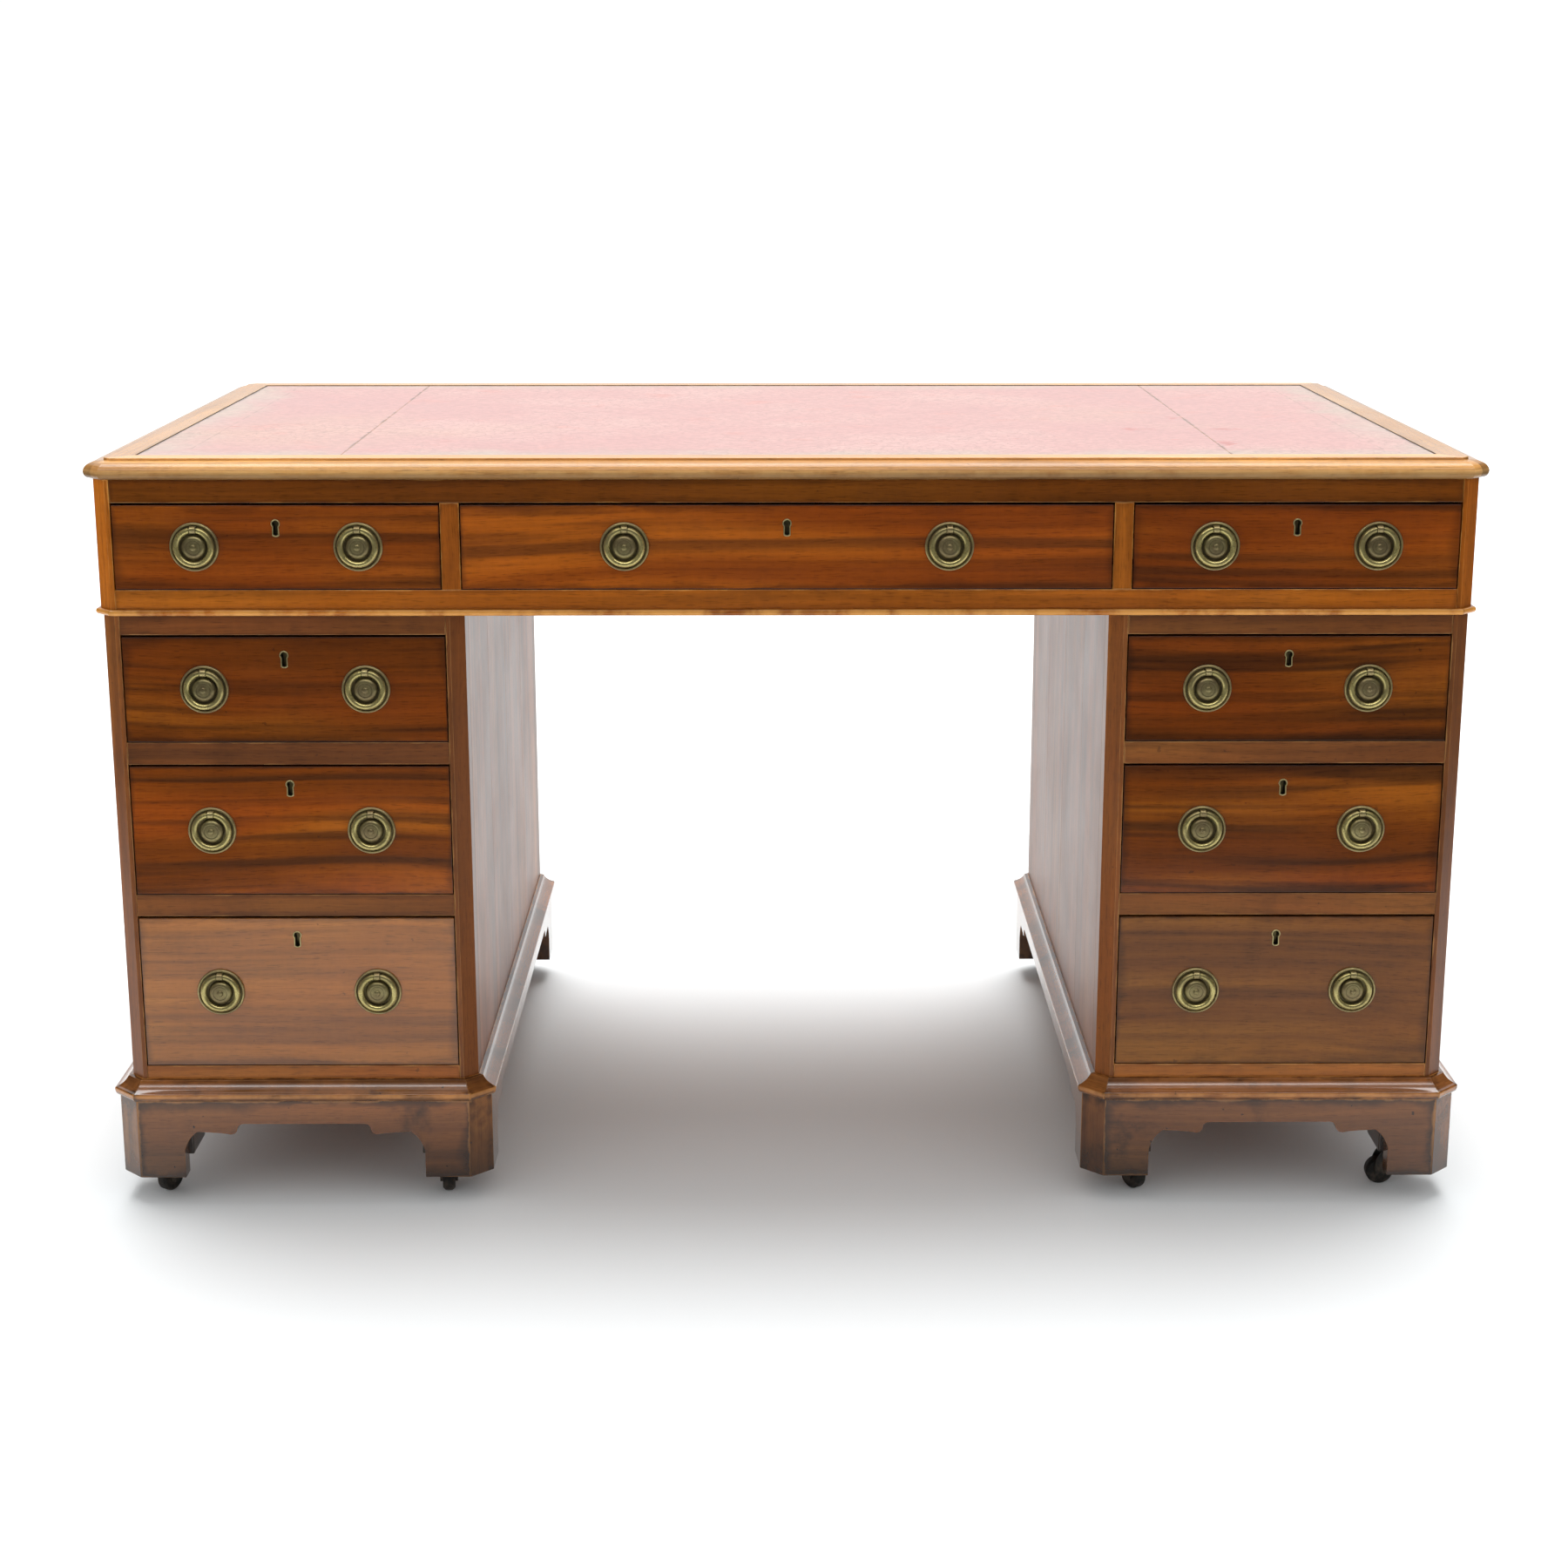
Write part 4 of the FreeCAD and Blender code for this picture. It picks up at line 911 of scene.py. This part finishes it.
def keyhole(x, z_top, grow=0):
    """A keyhole's outline, anticlockwise from the middle of its foot: a shallow curved foot, straight
    flanks to the neck, and a circle from the neck over the top; the left half mirrors the right."""
    radius, foot, neck = KEYHOLE_R + grow, KEYHOLE_FOOT + grow, KEYHOLE_NECK + grow
    t = np.linspace(0, 1, 4)
    turn = np.linspace(-math.acos(neck / radius), math.pi / 2, 10)
    right = np.vstack([
        stacked(foot * t, -KEYHOLE_SKIRT - grow + KEYHOLE_SAG * t ** 2),
        stacked(radius * np.cos(turn), radius * np.sin(turn)),
    ])
    z = z_top - KEYHOLE_DROP + (KEYHOLE_SKIRT - KEYHOLE_R) / 2
    return np.vstack([right, right[-2:0:-1] * (-1, 1)]) + (x, z)


def halved(x0, x1, z0, z1):
    """A rectangle that starts at the middle of its foot and has a point at the middle of its head."""
    middle = (x0 + x1) / 2
    return [(middle, z0), (x1, z0), (x1, z1), (middle, z1), (x0, z1), (x0, z0)]


def tails(z, top):
    """Rows of (low root, low tip, high tip, high root) heights of a drawer side's evenly pitched tails."""
    count = max(1, round((top - z) / TAIL_PITCH))
    pitch = (top - z) / count
    low = z + np.arange(count)[:, None] * pitch
    gaps = np.array([TAIL_ROOT_GAP / 2, TAIL_END_GAP / 2])
    return np.column_stack([low + gaps, low + pitch - gaps[::-1]])


drawers = {}
for place, (x0, x1) in FRIEZE_OPENINGS.items():
    drawers["frieze_%s_drawer" % place] = (x0, x1, *FRIEZE_OPENING, -FRIEZE_Y)
for side, (x0, x1) in PEDESTALS.items():
    for place, levels in PEDESTAL_OPENINGS.items():
        drawers["%s_%s_drawer" % (side, place)] = (x0 + POST_W, x1 - POST_W, *levels, -PEDESTAL_Y)

locks = {}
for name, (x0, x1, z, z_top, face) in drawers.items():
    left, right, middle = x0 + SIDE_GAP, x1 - SIDE_GAP, (x0 + x1) / 2
    foot, top = z + FRONT_LIFT, z_top - TOP_GAP
    lap, behind, back = face + LAP_T, face + FRONT_T, face + DRAWER_L
    lining_top, floor_z = z_top - LINING_DROP, z + BOTTOM_RAISE + BOTTOM_T
    hole = keyhole(middle, z_top, 0.1)
    inner_left, inner_right = left + LINING_T, right - LINING_T
    lock_left, lock_right = middle - LOCK_W / 2, middle + LOCK_W / 2
    lock_y, lock_z = behind - LOCK_T, top - LOCK_H
    locks[name] = ((lock_left, lock_y, lock_z), (lock_right, behind + LOCK_PROUD, top))
    fronts = [
        swept(halved(left, right, foot, top), (face, lap), UPRIGHT, ease=1, grain=0, hole=hole,
              tone=FRONT_TONES[name]),
        swept(halved(lock_left, lock_right, lock_z, top), (lap, lock_y), UPRIGHT, ease=0.2, grain=0,
              hole=hole),
        board((inner_left, lap, foot), (lock_left, behind, top), 0, 0.4),
        board((lock_right, lap, foot), (inner_right, behind, top), 0, 0.4),
        board((lock_left, lap, foot), (lock_right, behind, lock_z), 0, 0.4),
    ]
    rows = tails(z, lining_top)
    teeth = stacked([behind, lap, lap, behind], rows).reshape(-1, 2)
    outline = [(back, lining_top), (behind, lining_top), *teeth[::-1], (behind, z), (back, z)]
    pins = [*np.hstack([rows[:-1, 2:], rows[1:, :2]])]
    pins += [(foot, foot, *rows[0, :2]), (*rows[-1, 2:], top, top)]
    linings = []
    for x in (left, inner_right):
        span = (x, x + LINING_T)
        linings.append(swept(anticlockwise(outline), span, SIDEWAYS, ease=0.25, grain=0))
        for pin in pins:
            plan = stacked([lap, behind, behind, lap], pin)
            fronts.append(swept(anticlockwise(plan), span, SIDEWAYS, ease=0.1))
    linings.append(board((inner_left, behind, z + BOTTOM_RAISE), (inner_right, back, floor_z), 0, 0.3))
    back_top = lining_top - BACK_DROP
    linings.append(board((inner_left, back - LINING_T, floor_z), (inner_right, back, back_top), 0, 0.6))
    kind = "frieze" if "frieze" in name else name[:-len("_drawer")] if "bottom" in name else "upper"
    joined(name + "_front", fronts, name, name, front_finishes[kind])
    joined(name + "_lining", linings, name, name, lining_wood)


# Fixed brass
# On each drawer two turned and lacquered back plates with a rim bead, a domed boss and a lug for the ring,
# drawn up by a nut on a stud behind; a cast keyhole liner driven into its hole, and the lock.
RING_R = 17.8
WIRE_R = 3.1
HINGE_OUT = 4.7
KNUCKLE_W = 6
KNUCKLE_R = 3.8
KNUCKLE_OUT = HINGE_OUT + KNUCKLE_R
TUBE = (False, True)
OUTWARD = [(0, -1, 0), (0, 0, 1), (1, 0, 0)]
LINER = ((0, 10), (0, -0.2), (-0.25, -0.4), (-0.9, -0.4), (-1.2, -0.1), (-1.2, 10))
LINER_RUB = np.array([0.3, 1, 1, 1, 0.3, 0])[:, None]
# Painted shade: the liner's inner wall darkens from 0.3 at its mouth to near black deep in the keyhole.
LINER_PAINTED_SHADE = np.array([1, 1, 1, 1, 0.3, 0.02])[:, None]
STUD = [(2.6, -26), (3, -25.6), (3, 0.4)]
NUT = [(3, -24), (6.2, -24), (6.5, -23.6), (6.5, -20.3), (6.2, -20), (3, -20)]


def brass_finish(name, bright, brown, green, roughness):
    """Old brass: bright where it is rubbed, brown and green in the hollows, in soft patches."""
    made, shader = finish(name)
    place = object_place(shader)
    rub, tone = (
        node(made.node_tree, "Attribute", attribute_name=key).outputs["Fac"] for key in ("rub", "tone"))
    patches = clouds(place, 55, 5)
    fine = clouds(place, 420)
    aged = mixed(ramp(patches, 0.4, 0.65), brown, green)
    share = maths("ADD", rub, ramp(patches, 0.3, 0.7, -0.25, 0.3))
    base = mixed(ramp(share, 0.1, 1), aged, bright)
    feed(shader, {
        "Base Color": scaled(base, times(tone, ramp(fine, 0.3, 0.7, 0.85, 1.1))), "Metallic": 0.7,
        "Roughness": ramp(share, 0, 1, *roughness), "Normal": bumped(fine, 0.12, 0.0003),
    })
    return made


def turned(profile, centre, count=56, rub=0, tone=1):
    """A profile of (radius, height) spun about an axis that points out of the drawer front, -Y."""
    angle = np.arange(count) * (2 * math.pi / count)
    radius, out = np.asarray(profile, float).T[..., None]
    x, y, z = centre
    points = stacked(radius * np.cos(angle) + x, y - out, radius * np.sin(angle) + z)
    return shell(points, TUBE, rub, tone)


plate_brass = brass_finish(
    "plate_brass", (0.52, 0.43, 0.2), (0.3, 0.23, 0.11), (0.27, 0.23, 0.095), (0.42, 0.3))
plate_profile = np.vstack([
    [(24.6, 0), (25, 0.2), (25, 1.1)],
    curve((25, 1.2), (25, 3.2), (23.6, 3.2), count=6),
    curve((23.6, 3.2), (22.2, 3.2), (22.2, 1.3), count=6)[1:],
    [(21.9, 1.2), (14.5, 1.2), (13, 1.25), (12.6, 1.5)],
    curve((12.6, 1.8), (12.6, 7.4), (7.6, 7.4), count=10),
    [(7.3, 7.1), (6.9, 7.1), (6.6, 7.4), (3.5, 7.4), (3.25, 7.5)],
    curve((3.2, 7.6), (3.2, 9.2), (1.3, 9.2), count=6),
])
reach, height = plate_profile.T[..., None]
plate_rub = np.where(reach > 22.3, 0.35, np.where(height > 3, 0.25, 0))
plate_tone = np.where(reach < 14, 0.68, 1)
plate_tone[(height < 7.2) & (reach < 7.6)] = 0.4
plate_tone[(height < 1.6) & (reach < 22.5)] = 0.5
knuckle = np.vstack([
    [(1, -3.4), (HINGE_OUT, -KNUCKLE_R)],
    curve((HINGE_OUT, -KNUCKLE_R), (KNUCKLE_OUT, -KNUCKLE_R), (KNUCKLE_OUT, 0))[1:],
    curve((KNUCKLE_OUT, 0), (KNUCKLE_OUT, KNUCKLE_R), (HINGE_OUT, KNUCKLE_R))[1:],
    [(1, KNUCKLE_R)],
])
pulls = {}
for name, (x0, x1, z, z_top, face) in drawers.items():
    middle, pull_z = (x0 + x1) / 2, (z + z_top) / 2
    rims = [np.insert(keyhole(middle, z_top, grow), 1, face + depth, 1) for grow, depth in LINER]
    liner = shell(np.stack(rims), (True, True), LINER_RUB, LINER_PAINTED_SHADE)
    skins = [liner, board(*locks[name], 0, 0.6, tone=0.8)]
    spacing = PULL_SPACING.get(name, NARROW_SPACING)
    for hand, x in (("left", middle - spacing / 2), ("right", middle + spacing / 2)):
        centre = (x, face, pull_z)
        span = (x - KNUCKLE_W / 2, x + KNUCKLE_W / 2)
        skins += [
            turned(plate_profile, centre, rub=plate_rub, tone=plate_tone),
            swept(knuckle, span, OUTWARD, (0, face, pull_z + RING_R), 0.5, wear=0.3),
            turned(STUD, centre, 20),
            turned(NUT, centre, 6),
        ]
        pulls["%s_%s_ring" % (name, hand)] = centre
    joined(name + "_brasses", skins, name, name + "_fittings", plate_brass)


# Rings
# Eighteen drop rings of round brass wire, closed at the top by the pin that hinges in the lug.
# Hands have kept the lower half bright, while the top has browned.
RING_GAP = 0.35
HOOP_STEPS = 73
WIRE_SIDES = 20
PIN_X = np.array([-4.4, -4.3, 4.3, 4.4])[:, None]
PIN_R = np.array([1.7, 2, 2, 1.7])[:, None]
ring_brass = brass_finish(
    "ring_brass", (0.5, 0.42, 0.165), (0.28, 0.23, 0.1), (0.29, 0.26, 0.09), (0.36, 0.24))
gap = math.asin((KNUCKLE_W / 2 + RING_GAP) / (RING_R - WIRE_R))
hoop = np.linspace(gap, 2 * math.pi - gap, HOOP_STEPS)[:, None]
around = np.arange(WIRE_SIDES) * (2 * math.pi / WIRE_SIDES)
reach = RING_R + WIRE_R * np.cos(around)
bright = 0.35 + 0.45 * (1 - np.cos(hoop)) / 2
for ring, (x, face, z) in pulls.items():
    y = face - HINGE_OUT
    wire = stacked(x + reach * np.sin(hoop), y - WIRE_R * np.sin(around), z + reach * np.cos(hoop))
    pin = stacked(x + PIN_X, y - PIN_R * np.sin(around), z + RING_R + PIN_R * np.cos(around))
    skins = [shell(wire, TUBE, bright), shell(pin, TUBE, 0.2, 0.8)]
    joined(ring + "_hoop", skins, ring, ring, ring_brass)


# Studio
# A plain pale floor under soft white light from all round and a broad soft sun above and behind, with a
# dark card and a light strip before the desk that only reflections see, and the photograph's camera.
FLOOR_HALF = 30
FLOOR_GREYS = ((0.837, 0.863, 0.872), (0.857, 0.883, 0.892))
CARD_X = 2.1
CARD_Y = 1.6
STRIP_Z = 2.9
BACKDROP = 1.03


def spread(name, x, y, z, material):
    """A sheet over a grid whose x, y and z are functions of its two parameters."""
    grid = stacked(x, y, z)
    index = np.arange(grid.size // 3).reshape(grid.shape[:2])
    quads = np.stack([index[:-1, :-1], index[1:, :-1], index[1:, 1:], index[:-1, 1:]], -1).reshape(-1, 4)
    mesh = bpy.data.meshes.new(name)
    mesh.from_pydata(grid.reshape(-1, 3).tolist(), [], quads.tolist())
    mesh.materials.append(material)
    piece = placed(name, mesh)
    return piece


floor_white, shader = finish("studio_floor_white")
cloudy = mixed(clouds(object_place(shader), 0.6), *FLOOR_GREYS)
feed(shader, {"Base Color": cloudy, "Roughness": 0.9, "Specular IOR Level": 0.1})
across = np.linspace(-FLOOR_HALF, FLOOR_HALF, 7)
spread("studio_floor", across[:, None], across, 0, floor_white)

turn = np.radians(np.linspace(-140, 140, 29))[:, None]
away = np.array([1, 3.4, 3.4])
rise = np.array([0.003, 0.003, 6])
card_black, shader = finish("dark_card_black")
feed(shader, {"Base Color": (0.01, 0.01, 0.01), "Roughness": 1})
card = spread("dark_card", CARD_X * away * np.sin(turn), -CARD_Y * away * np.cos(turn), rise, card_black)
strip_white, shader = finish("light_strip_white")
feed(shader, {"Emission Color": (1, 1, 1), "Emission Strength": 5.5})
strip = spread("light_strip", np.array([-1.8, 1.8])[:, None], np.array([-1.9, -1.3]), STRIP_Z, strip_white)
for sheet in (card, strip):
    for ray in ("camera", "diffuse", "shadow", "transmission"):
        setattr(sheet, "visible_" + ray, False)

world = bpy.data.worlds.new("studio")
world.use_nodes = True
tree = world.node_tree
bounced = node(tree, "LightPath").outputs["Is Diffuse Ray"]
height = split(node(tree, "TexCoord").outputs["Generated"])[2]
soft_light = times(ramp(height, 0.03, 0.46, 0.02, 1.14), ramp(height, 0.4, 0.9, 1, 0.58))
strength = ramp(bounced, 0, 1, BACKDROP, soft_light)
feed(tree.nodes["Background"], {"Color": (1, 1, 1), "Strength": strength})
bpy.context.scene.world = world
bpy.context.scene.view_settings.view_transform = "Standard"

overhead = bpy.data.lights.new("overhead", "SUN")
overhead.angle = math.radians(44)
overhead.energy = 3.2
placed("overhead", overhead).rotation_euler = (math.radians(-20), 0, 0)

camera = bpy.data.cameras.new("camera")
camera.lens = 60.49
camera.sensor_width = 36
camera.shift_x = -0.0032
camera_stand = placed("camera", camera)
camera_stand.location = (-0.0127, -3.0517, 1.1309)
camera_stand.rotation_euler = (math.radians(75.817), 0, math.radians(-0.318))
bpy.context.scene.camera = camera_stand
